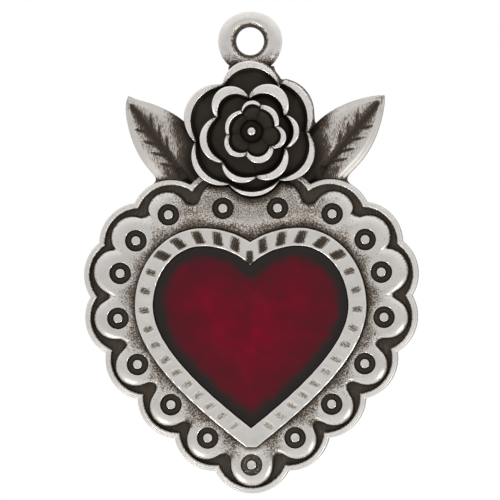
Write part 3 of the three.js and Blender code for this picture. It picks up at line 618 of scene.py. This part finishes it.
def beyond_rose(x, y, turned=0.0):
    """Distance outside the outer whorl's outline, which may be turned; negative under it."""
    petals = WHORLS[0][-1]
    arcs = [petal_arc(a, b, 60) for a, b in zip(petals, petals[1:] + petals[:1])]
    turns, reaches = np.concatenate(arcs, 1)
    x, y = x - ROSE[0], y - ROSE[1]
    angle = np.mod(np.arctan2(y, x) + turned - turns[0], 2 * math.pi)
    return np.hypot(x, y) - np.interp(angle, turns - turns[0], reaches, period=2 * math.pi)


def under_petals(x, y, level):
    """Keeps what runs under the rose below its seat."""
    return np.where(beyond_rose(x, y) < 0.08, np.minimum(level, SEAT - 0.01), level)


def rim_points(steps=26, across=23):
    """A profile of (inset, level) carried along the scallops: up the outer wall, over a crown
    that is half an ellipse with a shallow groove along it, and down the inner wall."""
    turn = np.linspace(0, math.pi, across)
    inset = np.concatenate([[0, 0], RIM_WIDTH / 2 * (1 - np.cos(turn)), [RIM_WIDTH] * 2])
    at, half, depth = RIM_GROOVE
    crown = RIM_TOP - CROWN + CROWN * np.sin(turn)
    crown = crown - depth * np.exp(-((inset[2:-2] - at) / half) ** 2)
    level = np.concatenate([[PLATE + SEAM, 1.15], crown, [1.15, PLATE + SEAM]])
    oxide = np.interp(inset / RIM_WIDTH, *CROWN_OXIDE)
    oxide = np.where(level < 1.3, np.where(inset > 0, 0.85, 0.7), oxide)
    plan = np.stack([scallop_loop(-i, steps) for i in inset])
    x, y = plan[..., 0], plan[..., 1]
    # Oxide near the rose, with painted shadow of its petals on the rim.
    near = fade(beyond_rose(x, y), 0.1, 1.5)
    level = under_petals(x, y, np.broadcast_to(level[:, None], x.shape))
    return in_frame(x, y, level), np.maximum(oxide[:, None], 0.55 * near)


# Drawn wire: smooth, with a soft broad sheen
DRAWN = antique_pewter("drawn_pewter_wire", "#d6d3cf", satin=0.42)
rim = shell("scalloped_rim_wire", *rim_points(), joined=True)
place_piece(rim, DRAWN, "pewter", "scalloped_rim")


# The lobed border is a cast strip of seventeen domes joined by a web that falls to the bezel.
# A ring punch has marked every dome. The domes are bright, painted darker toward their edges
# as shade; the foot and rings keep the oxide.

DOME_TOP = 2.05
DOME_EDGE = 1.35
DOME_RUN = 1.3
DOME_SPREAD = 0.1  # of the cast domes beyond their plain radius
FOOT = 1.6  # level at the bezel
SLOPE_RUN = 1.1
BLEND = 0.22  # where dome and slope meet
MARK = (0.37, 0.83)  # inner and outer radius of the punched groove
MARK_FLOOR = 1.64

# The web's edge between each lobe and the next: share of the outline, from the bezel out
WEBS = np.array([(0.189, 1.87), (0.265, 2.47), (0.351, 2.77), (0.443, 2.1),
                 (0.545, 1.34), (0.678, 1.12), (0.833, 1.38), (0.995, 1.35)])
notches = both_sides(heart_at(WEBS[:, 0], BEZEL_WIDTH + WEBS[:, 1]), shared=False)


def border_plan(steps=80, count=2000):
    """Outer edge and foot of the border. The edge is an arc round every dome whose radius
    swells or shrinks to the web's notch at each end, and a running mean rounds the notches;
    the foot lies on the bezel's outline."""
    rise = math.sqrt((SCALLOP_RADIUS - RIM_WIDTH) ** 2 - scallop_centres[0, 0] ** 2)
    top = np.array([[0, scallop_centres[0, 1] + rise - lobe_channel[0]]])
    tips = np.concatenate([top, notches])
    ends = np.roll(tips, -1, 0)
    share = np.arange(steps) / steps
    radii = np.append(lobe_dome, lobe_dome[-2::-1])[:, None] + DOME_SPREAD
    first = np.linalg.norm(tips - dome_centres, axis=1)[:, None]
    last = np.linalg.norm(ends - dome_centres, axis=1)[:, None]
    swell = np.clip(1 - share / 0.1, 0, 1) ** 1.6
    fall = np.clip(1 - (1 - share) / 0.1, 0, 1) ** 1.6
    radii = radii + (first - radii) * swell + (last - radii) * fall
    edge = clockwise_arcs(dome_centres, radii, tips, ends, share).reshape(-1, 2)
    weights = np.hanning(13)[1:-1] / np.hanning(13).sum()
    edge = sum(weight * np.roll(edge, shift, 0) for shift, weight in zip(range(-5, 6), weights))
    loop = heart_loop(BEZEL_WIDTH + SEAM, count)
    facing = np.linalg.norm(loop[None] - notches[:, None], axis=-1).argmin(1) / count
    loop = np.append(loop, loop[:1], 0)
    marks = np.concatenate([[0], facing, [1]])
    place = (marks[:-1, None] + np.diff(marks)[:, None] * share).reshape(-1) * count
    return edge, on_path(place, np.arange(count + 1), loop)


def drawn_tight(plan):
    """Moves points near a ring mark to or from its centre, so that the net of points is
    closest along the groove's two walls."""
    offset = plan[..., None, :] - mark_centres
    distance = np.linalg.norm(offset, axis=-1)
    own = distance.argmin(-1)[..., None]
    radius = np.take_along_axis(distance, own, -1)
    offset = np.take_along_axis(offset, own[..., None], -2)[..., 0, :]
    fitted = np.interp(radius, [0, 0.25, 0.45, 0.65, 0.95, 1.2], [0, 0.31, 0.4, 0.77, 0.89, 1.2])
    moved = plan + offset * (np.where(radius < 1.2, fitted / np.maximum(radius, 1e-6), 1) - 1)
    return moved, np.linalg.norm(moved - mark_centres[own[..., 0]], axis=-1)


def border_level(from_edge, from_foot, radius):
    """The lower of a dome, which rises from the edge as a quarter ellipse, and the slope to
    the bezel, blended where they meet; inside a ring mark it drops to the groove's floor."""
    rise = np.sqrt(1 - np.clip(1 - from_edge / DOME_RUN, 0, 1) ** 2)
    dome = DOME_EDGE + (DOME_TOP - DOME_EDGE) * rise
    slope = FOOT + (DOME_TOP - FOOT) * np.clip(from_foot / SLOPE_RUN, 0, 1.2)
    close = np.clip(1 - np.abs(dome - slope) / (2 * BLEND), 0, 1)
    level = np.minimum(dome, slope) - BLEND * close ** 2 / 2
    inner, outer = MARK
    groove = smooth(radius, inner - 0.03, inner + 0.05)
    groove = groove * fade(radius, outer - 0.04, outer + 0.05)
    return level + (np.minimum(level, MARK_FLOOR) - level) * groove


def border_oxide_and_shade(plan, from_edge, radius):
    """Oxide and painted shade by place. A film lies along the foot, except where the tip is
    rubbed, and at the cleft, round the rose, where it is also painted shadow of the petals, and
    on the shoulders, with every ring mark's middle kept clear. More is left along the edge,
    where the domes are also painted darker as shade, at the low notches, partly as painted
    shade, and in the grooves, least in the lowest one."""
    x, y = plan[..., 0], plan[..., 1]
    near = nearest(plan, heart_loop(BEZEL_WIDTH, 500))
    foot = 0.12 * fade(near, 0.2, 1.0) + 0.34 * fade(near, 0.6, 1.7)
    foot = foot + 0.2 * fade(near, 1.5, 3.6) * smooth(radius, 0.9, 1.5)
    foot = foot * smooth(np.hypot(x, y + TIP_DROP + BEZEL_WIDTH), 0.4, 1.5)
    cleft = 0.8 * fade(np.hypot(x, y - CLEFT_RISE - 1.7 * BEZEL_WIDTH), 0.1, 1.2)
    # Oxide round the rose, with painted shadow of its petals on the border.
    rose = 1.05 * fade(beyond_rose(x, y), 0.0, 1.5)
    shoulder = 0.5 * smooth(y, 5.4, 7.4) * fade(np.abs(x), 5.0, 8.6)
    film = np.maximum.reduce([foot, cleft, rose, shoulder]) * smooth(radius, 0.3, 0.4)
    # Oxide in the very edge; the broader darkening of the domes toward it is painted shade.
    edge = np.maximum(fade(from_edge, 0.0, 0.06), 0.6 * fade(from_edge, 0.02, 0.42))
    # Oxide at the lower notches, painted darker there as shade too.
    notch = 0.62 * fade(nearest(plan, notches), 0.25, 0.8) * fade(y, -8.0, -5.0)
    floor = smooth(radius, 0.44, 0.58) * fade(radius, 0.62, 0.76)
    mark = smooth(radius, 0.34, 0.42) * fade(radius, 0.8, 0.88) * (1.24 - 0.2 * floor)
    mark = mark * (0.72 + 0.28 * smooth(y, -12.0, -10.5))
    return np.maximum.reduce([film, edge, notch, mark, np.full(x.shape, 0.04)])


def border_points(rows=60):
    """Rows from the edge to the foot, with an upright wall below each."""
    edge, foot = border_plan()
    share = np.linspace(0, 1, rows) ** 1.1
    plan = edge + (foot - edge) * share[:, None, None]
    plan[1:-1], radius = drawn_tight(plan[1:-1])
    radius = np.pad(radius, ((1, 1), (0, 0)), constant_values=9.0)
    from_edge = np.linalg.norm(plan - edge, axis=-1)
    from_foot = np.linalg.norm(plan - foot, axis=-1)
    oxide = border_oxide_and_shade(plan, from_edge, radius)
    oxide = np.pad(oxide, ((3, 2), (0, 0)), constant_values=1.0)
    level = border_level(from_edge, from_foot, radius)
    level = under_petals(plan[..., 0], plan[..., 1], level)
    wall_ends = level[[0, -1]] - 0.05
    bottom = np.full((1, len(edge)), PLATE + SEAM)
    level = np.concatenate([bottom, np.full_like(bottom, 1.1), wall_ends[:1], level,
                            wall_ends[1:], bottom])
    plan = np.concatenate([[edge] * 3, plan, [foot] * 2])
    return in_frame(plan[..., 0], plan[..., 1], level), oxide


border = shell("lobed_border_cast", *border_points(), joined=True)
place_piece(border, PEWTER, "pewter", "lobed_border")


# The leaves are two cast blades soldered to the plate beside the rose, domed on both sides of
# a sunk midrib with slanting veins. A stiff brush has cleared the oxide from their outer part.

LEAF_WIDTH = 4.53
LEAF_FULL_AT = 5.46  # from the tip
LEAF_EDGE = 0.4
LEAF_CROWN = 0.78
UPPER_WIDER = 1.07  # the upper side, by the lower
MARGIN = 0.42  # width of the flat edge round each blade
MARGIN_STEP = 0.05
RIB_DEPTH = 0.34
VEIN_DEPTH = 0.14
VEINS = {"lower": (3.5, 4.7, 5.85, 6.9), "upper": (3.5, 4.6, 5.6)}  # from the tip
VEIN_ANGLES = {"lower": 38, "upper": 34}  # between a vein and the midrib, in degrees
TIP_BEND = (0.3, 0.9)  # how far, and over which length

# Node, side, length, tip from the rose's axis, lean from upright in degrees
LEAVES = [
    ("leaf_left", -1, 9.3, (-10.15, 2.72), 40.6),
    ("leaf_right", 1, 9.6, (10.44, 2.83), 43.7),
]


def inside_rim(x, y):
    """Distance inside the scalloped outline, negative outside it."""
    gap = np.hypot(x[..., None] - scallop_centres[:, 0], y[..., None] - scallop_centres[:, 1])
    return SCALLOP_RADIUS - gap.min(-1)


def leaf_axes(side, tip, lean):
    """Tip, direction from the tip to the root, and direction to the leaf's lower side."""
    angle = math.radians(270 - side * lean)
    inward = np.array([math.cos(angle), math.sin(angle)])
    lower = np.array([-inward[1], inward[0]]) * side
    return np.add(ROSE, tip), inward, lower


def leaf_half(from_tip):
    """Half width: the sine from the tip to the widest point, to a power that rounds it."""
    rise = np.sin(np.pi / 2 * np.clip(from_tip / LEAF_FULL_AT, 0, 1)) ** 0.81
    return np.maximum(LEAF_WIDTH * rise, 0.12) / 2


def tip_bend(side, from_tip):
    """How far the left blade's tip bends toward its upper side."""
    bend, length = TIP_BEND
    return bend * np.clip(1 - from_tip / length, 0, 1) ** 2 * (side < 0)


def leaf_veins(from_tip, beside):
    """Strength of the veins at places beside the midrib: across its line a vein is a bell,
    which is widest near the midrib and tapers out toward the tip and the edge."""
    veins = np.zeros(beside.shape)
    for part, sign in (("lower", 1), ("upper", -1)):
        angle = math.radians(VEIN_ANGLES[part])
        for station in VEINS[part]:
            back, side = from_tip - station, sign * beside
            across = back * math.sin(angle) + side * math.cos(angle)
            along = side * math.sin(angle) - back * math.cos(angle)
            taper = smooth(along, -0.1, 0.1) * fade(along, 0.9, 2.0)
            bell = np.exp(-(across / (0.06 + 0.13 * taper)) ** 2)
            veins = np.maximum(veins, bell * taper ** 0.6)
    return veins


def leaf_points(side, length, tip, lean, rows=120, across=84):
    """Rows from tip to root, each a closed profile. Lines along the blade stop where they
    meet the rim or the rose's seat. The level is a crown on each side of the midrib, with a
    step down to the margin and valleys along midrib and veins. Oxide is left in these, at
    the root and near rim and rose, where painted shadow of the petals is added; a paler line
    along the margin step is a painted highlight."""
    start, inward, lower = leaf_axes(side, tip, lean)
    u = np.concatenate([np.sin(np.linspace(-1, 1, across) * np.pi / 2), [1, 0.4, -0.4, -1]])
    reach = np.linspace(0.02, length, 500)[:, None]
    x, y = np.moveaxis(
        start + inward * reach[..., None] + lower * (u * leaf_half(reach))[..., None], -1, 0)
    blocked = (inside_rim(x, y) > -SEAM) | (beyond_rose(x, y) < SEAM - 0.22)
    blocked[-1] = True
    end = reach[np.argmax(blocked, 0), 0]
    from_tip = np.linspace(0, 1, rows)[:, None] ** 1.15 * end
    half = leaf_half(from_tip)
    widening = np.where(u < 0, UPPER_WIDER, 1.0)
    wide = u * half * widening
    out = wide - tip_bend(side, from_tip)
    margin = half * widening - np.abs(wide)
    middle = 0.06 * from_tip
    beside = out - middle
    share = np.abs(beside) / np.maximum(np.where(beside > 0, half - middle, half + middle), 1e-6)
    rib_width = np.interp(from_tip, [0.3, 0.9, 2.6, 4.2, 5.5, 9.6],
                          [0.1, 0.25, 0.48, 0.44, 0.32, 0.26])
    rib_end = smooth(from_tip, 0.25, 0.8)
    rib = np.exp(-(beside / rib_width) ** 2) * rib_end
    veins = leaf_veins(from_tip, beside) * smooth(margin, MARGIN - 0.1, MARGIN + 0.2)
    swell = np.maximum(half * 2 / LEAF_WIDTH, 0.3)
    crown = np.sqrt(np.clip(1 - (np.maximum(share - 0.4, 0) / 0.62) ** 2, 0, 1))
    level = PLATE + swell * (LEAF_EDGE + (LEAF_CROWN - LEAF_EDGE) * crown)
    level = level - MARGIN_STEP * swell * fade(margin, MARGIN - 0.08, MARGIN + 0.08)
    level = level - RIB_DEPTH * swell * rib - VEIN_DEPTH * veins * (1 - rib)
    top = np.arange(len(u)) < across
    level = np.where(top, level, PLATE + SEAM)
    place = start + inward * from_tip[..., None] + lower * out[..., None]
    x, y = place[..., 0], place[..., 1]
    root = smooth(from_tip / length, 0.42, 0.95)
    # Oxide near the rose, with painted shadow of its petals on the leaf.
    near_rose = fade(beyond_rose(x, y), 0.2, 2.5)
    near_rim = fade(-inside_rim(x, y), 0.0, 0.7)
    brushed = smooth(share, 0.45, 0.85)
    rib_film = np.exp(-(beside / (rib_width * 1.45)) ** 2) * rib_end
    oxide = np.maximum.reduce([
        1.15 * rib_film, 1.15 * veins, near_rose * (1 + 0.4 * root),
        near_rim * (0.4 + 0.7 * root), 1.3 * root * (1 - 0.8 * brushed), 0.44 * (1 - brushed),
        np.broadcast_to(np.where(top, 0.08, 0.55), x.shape)])
    # Painted highlight: a paler line of less oxide along the margin step, for the light its edge
    # catches.
    rubbed = np.exp(-((margin - MARGIN) / 0.09) ** 2) * (1 - root) * (1 - near_rose)
    return in_frame(x, y, level), np.clip(oxide - 0.3 * rubbed, -0.2, 1.4)


# Cleared with a stiff brush, up and down: fine upright streaks
BRUSHED = antique_pewter("brushed_leaf_pewter", "#cac6c1", satin=0.5,
                         brushing=((0, 0, 0), (1.5, 1.0, 0.35)))
for name, *drawing in LEAVES:
    piece = shell(name + "_cast", *leaf_points(*drawing))
    place_piece(piece, BRUSHED, "pewter", name)


# The back plate is one pewter sheet sawn to the outline of rim, leaves and rose, with a raised
# seat behind the rose. Its back was rubbed on flat abrasive; oxide is left at the edge.

NECK_INSET = 0.25
CORNER = 0.8
WIRE = 1.46  # of the hanging ring
EYE = 2.2
SHEET_BELOW_EYE = 1.9  # where the sheet ends, under the ring's lower wire
PLATE_HUB = (0.0, 5.75)  # every place on the sheet is seen from here in a straight line


def joined(first, second):
    """The nearer of two edges, with the inner corner between them rounded."""
    close = np.clip(1 - np.abs(first - second) / CORNER, 0, 1)
    return np.minimum(first, second) - CORNER * close ** 2 / 4


def plate_edge(x, y):
    """Negative inside the sheet: the nearest of rim, rose neck, leaves and ring, with small
    rounded corners between them. The neck runs straight past the notches between petals, and
    the sheet ends under the ring's lower wire."""
    neck = np.minimum.reduce([beyond_rose(x, y, turned) for turned in (-0.09, 0, 0.09)])
    neck = neck + NECK_INSET
    edge = joined(-inside_rim(x, y), neck)
    for _, side, length, tip, lean in LEAVES:
        start, inward, lower = leaf_axes(side, tip, lean)
        from_tip = (x - start[0]) * inward[0] + (y - start[1]) * inward[1]
        out = (x - start[0]) * lower[0] + (y - start[1]) * lower[1] + tip_bend(side, from_tip)
        beyond = np.maximum(np.abs(out) - leaf_half(from_tip),
                            np.maximum(-from_tip, from_tip - length))
        edge = joined(edge, beyond)
    ring = np.hypot(x, y - EYE_RISE) - (EYE / 2 + WIRE)
    above = np.maximum(joined(edge, ring), y - EYE_RISE + SHEET_BELOW_EYE)
    return np.where(neck < 0, edge, above)


def seen_from(hub, edge, count, far):
    """The outline of a shape as seen from a hub: along each ray the last place inside it."""
    turn, reach = full_turn(count), np.linspace(0.2, far, 900)
    value = edge(*polar(hub, reach, turn[:, None]))
    last = reach.size - 2 - np.argmax((value[:, :-1] < 0)[:, ::-1], 1)
    low = np.take_along_axis(value, last[:, None], 1)
    high = np.take_along_axis(value, last[:, None] + 1, 1)
    radius = reach[last] + (reach[1] - reach[0]) * (low / (low - high))[:, 0]
    return radius, turn


def plate_points(hub, radius, turn, bottom, top, rounding, rings):
    """A flat sheet: rings from the hub out, a rounded wall, and rings back to the hub."""
    inner = np.linspace(0.02, 1, rings, endpoint=False)
    flat, near = np.zeros(rings), 0.3 * rounding
    share = np.concatenate([inner, [1, 1, 1, 1], inner[::-1]])
    inset = np.concatenate([flat + rounding, [near, 0, 0, near], flat + rounding])
    level = np.concatenate([flat + bottom, [bottom + near, bottom + rounding],
                            [top - rounding, top - near], flat + top])
    reach = (radius - inset[:, None]) * share[:, None]
    x, y = polar(hub, reach, turn)
    return x, y, np.broadcast_to(level[:, None], x.shape)


# Rolled sheet rubbed on abrasive: slanting scratches behind, an even brown film in the channel
ABRADED = antique_pewter("abraded_pewter_sheet", "#cfccc7", satin=0.4, deep="#61584f",
                         brushing=((0, math.radians(35), 0), (1.6, 1.0, 0.16)))
radius, turn = seen_from(PLATE_HUB, plate_edge, 1500, 24.0)
x, y, level = plate_points(PLATE_HUB, radius, turn, 0.0, PLATE, 0.05, 24)
from_hub = np.hypot(x - PLATE_HUB[0], y - PLATE_HUB[1]) / radius
oxide = np.where(level > PLATE / 2, 0.98, 0.24 + 0.3 * smooth(from_hub, 0.93, 1.0))
plate = shell("back_plate_sawn", in_frame(x, y, level), oxide)
place_piece(plate, ABRADED, "pewter", "back_plate")


def seat_edge(x, y):
    """Negative inside the raised seat: under the rose and clear of the rim and the ring."""
    ring = EYE / 2 + WIRE + SEAM - np.hypot(x, y - EYE_RISE)
    return np.maximum.reduce([beyond_rose(x, y) + NECK_INSET, inside_rim(x, y) + SEAM, ring])


seat_hub = (ROSE[0], ROSE[1] + 0.5)
radius, turn = seen_from(seat_hub, seat_edge, 400, 6.5)
x, y, level = plate_points(seat_hub, radius, turn, PLATE - 0.02, SEAT, 0.04, 6)
seat = shell("rose_seat", in_frame(x, y, level), 1.0)
seat.data.materials.append(PEWTER)
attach(seat, "root")


# The hanging ring is round pewter wire soldered into the plate's top edge, behind the rose.
# Handling has kept it bright; oxide is left inside the eye and round its foot.

WORN = 0.2  # off the top of the ring
RING_LIFT = 0.08  # of the worn ring above the eye's axis


def ring_points(around=120, tube=48):
    """A torus about the eye's axis: rows round the eye, each a circle of wire, flattened at
    the top where it is worn."""
    turn, bend = full_turn(around)[:, None], full_turn(tube)
    reach = (EYE + WIRE) / 2 + WIRE / 2 * np.cos(bend)
    worn = WORN * np.maximum(np.sin(turn), 0) ** 2 * (0.5 + 0.5 * np.cos(bend))
    x, y = reach * np.cos(turn), reach * np.sin(turn) - worn + RING_LIFT
    level = np.broadcast_to(WIRE / 2 + WIRE / 2 * np.sin(bend), x.shape)
    eye = np.broadcast_to(0.85 * smooth(-np.cos(bend), 0.15, 0.85), x.shape)
    foot = np.maximum(smooth(-y, 1.0, 1.8), 0.6 * smooth(-y, 0.2, 1.6))
    oxide = np.maximum.reduce([eye, foot, np.full(x.shape, 0.03)])
    return in_frame(x, y + EYE_RISE, level), oxide


ring = shell("hanging_ring_wire", *ring_points(), joined=True)
place_piece(ring, PEWTER, "pewter", "hanging_ring")


# The pendant hangs free above a pale floor, in an evenly lit white room with a softbox low on
# each side. The camera looks straight at it from a little to the right.

SOFTBOXES = {"softbox_left": (-0.0664, -0.085, -0.1207), "softbox_right": (0.0974, -0.0818, -0.096)}
SOFTBOX_SIZE = 0.022
SOFTBOX_POWER = 0.036  # watts
FLOOR = (-0.13, 0.4, 0.004)  # level, radius, thickness
FRAME_WIDTH = 0.03965
DISTANCE = 0.45
AIM = (-0.00004, -0.00175, -0.01651)
AZIMUTH = 3.5
ROLL = -0.3


def background_rays(tree):
    """The light path's outputs, and 1 for a ray that shows the background, straight, in a
    reflection or through glass."""
    ray = add(tree, "LightPath").node.outputs
    seen = add(tree, "Math", {"operation": "MAXIMUM"}, i0=ray["Is Camera Ray"],
               i1=ray["Is Glossy Ray"])
    seen = add(tree, "Math", {"operation": "MAXIMUM"}, i0=seen, i1=ray["Is Transmission Ray"])
    return ray, seen


def white_room():
    """A white room: strength 1 where the camera sees it, softer as light. Reflections see it
    too, fading from white behind the pendant to a little darker behind the camera, and
    brighter overhead."""
    world = bpy.data.worlds.new("white_room")
    world.use_nodes = True
    tree = world.node_tree
    tree.nodes.clear()
    ray, seen = background_rays(tree)
    way = add(tree, "SeparateXYZ", Vector=add(tree, "TexCoord", out="Generated")).node.outputs
    front = add(tree, "MapRange", Value=way["Y"], From_Min=1.0, From_Max=-1.0, To_Min=1.0,
                To_Max=0.8)
    above = add(tree, "MapRange", Value=way["Z"], From_Min=0.0, From_Max=0.6, To_Min=0.0,
                To_Max=0.25)
    mirrored = add(tree, "Math", {"operation": "ADD"}, i0=front, i1=above)
    shown = add(tree, "Mix", {"data_type": "FLOAT"}, Factor=ray["Is Camera Ray"], i2=mirrored,
                i3=1.0)
    strength = add(tree, "Mix", {"data_type": "FLOAT"}, Factor=seen, i2=0.6, i3=shown)
    light = add(tree, "Background", Color=(1, 1, 1, 1), Strength=strength)
    add(tree, "OutputWorld", Surface=light)
    return world


def matt_card():
    """Matt white card with faint fibres, lifted to white where it shows as background."""
    material, tree = new_material("matt_white_card")
    fibres = add(tree, "TexNoise", Vector=add(tree, "TexCoord", out="Object"), Scale=2500.0,
                 Detail=3.0)
    shade = ramp_colours(add(tree, "ValToRGB", Fac=fibres), [(0.3, "#f1f0ee"), (0.7, "#f6f5f3")])
    glow = add(tree, "Math", {"operation": "MULTIPLY"}, i0=background_rays(tree)[1], i1=0.4)
    card = add(tree, "BsdfPrincipled", Base_Color=shade, Roughness=0.9, Emission_Color=(1, 1, 1, 1),
               Emission_Strength=glow)
    add(tree, "OutputMaterial", Surface=card)
    return material


scene = bpy.context.scene
scene.world = white_room()
for name, place in SOFTBOXES.items():
    lamp = bpy.data.lights.new(name, "AREA")
    lamp.size = SOFTBOX_SIZE
    lamp.energy = SOFTBOX_POWER
    softbox = bpy.data.objects.new(name, lamp)
    softbox.location = place
    aim = Vector((0, 0, -0.0165)) - softbox.location
    softbox.rotation_euler = aim.to_track_quat("-Z", "Y").to_euler()
    scene.collection.objects.link(softbox)

height, radius, thickness = FLOOR
x, y = polar((0, 0), np.array([0.01, radius, radius, 0.01])[:, None], full_turn(96))
level = np.array([height, height, height - thickness, height - thickness])[:, None]
floor = shell("pale_floor", np.stack([x, y, np.broadcast_to(level, x.shape)], -1))
floor.data.polygons.foreach_set("use_smooth", np.zeros(len(floor.data.polygons), bool))
floor.data.materials.append(matt_card())

lens = bpy.data.cameras.new("camera")
lens.lens = lens.sensor_width * DISTANCE / FRAME_WIDTH
lens.clip_start = 0.01
lens.clip_end = 10
camera = bpy.data.objects.new("camera", lens)
swing = math.radians(AZIMUTH)
camera.location = Vector(AIM) + DISTANCE * Vector((math.sin(swing), -math.cos(swing), 0))
camera.rotation_euler = (math.pi / 2, 0, swing)
roll = Matrix.Rotation(math.radians(ROLL), 3, "Z")
camera.rotation_euler = (camera.rotation_euler.to_matrix() @ roll).to_euler()
scene.collection.objects.link(camera)
scene.camera = camera
scene.view_settings.view_transform = "Standard"
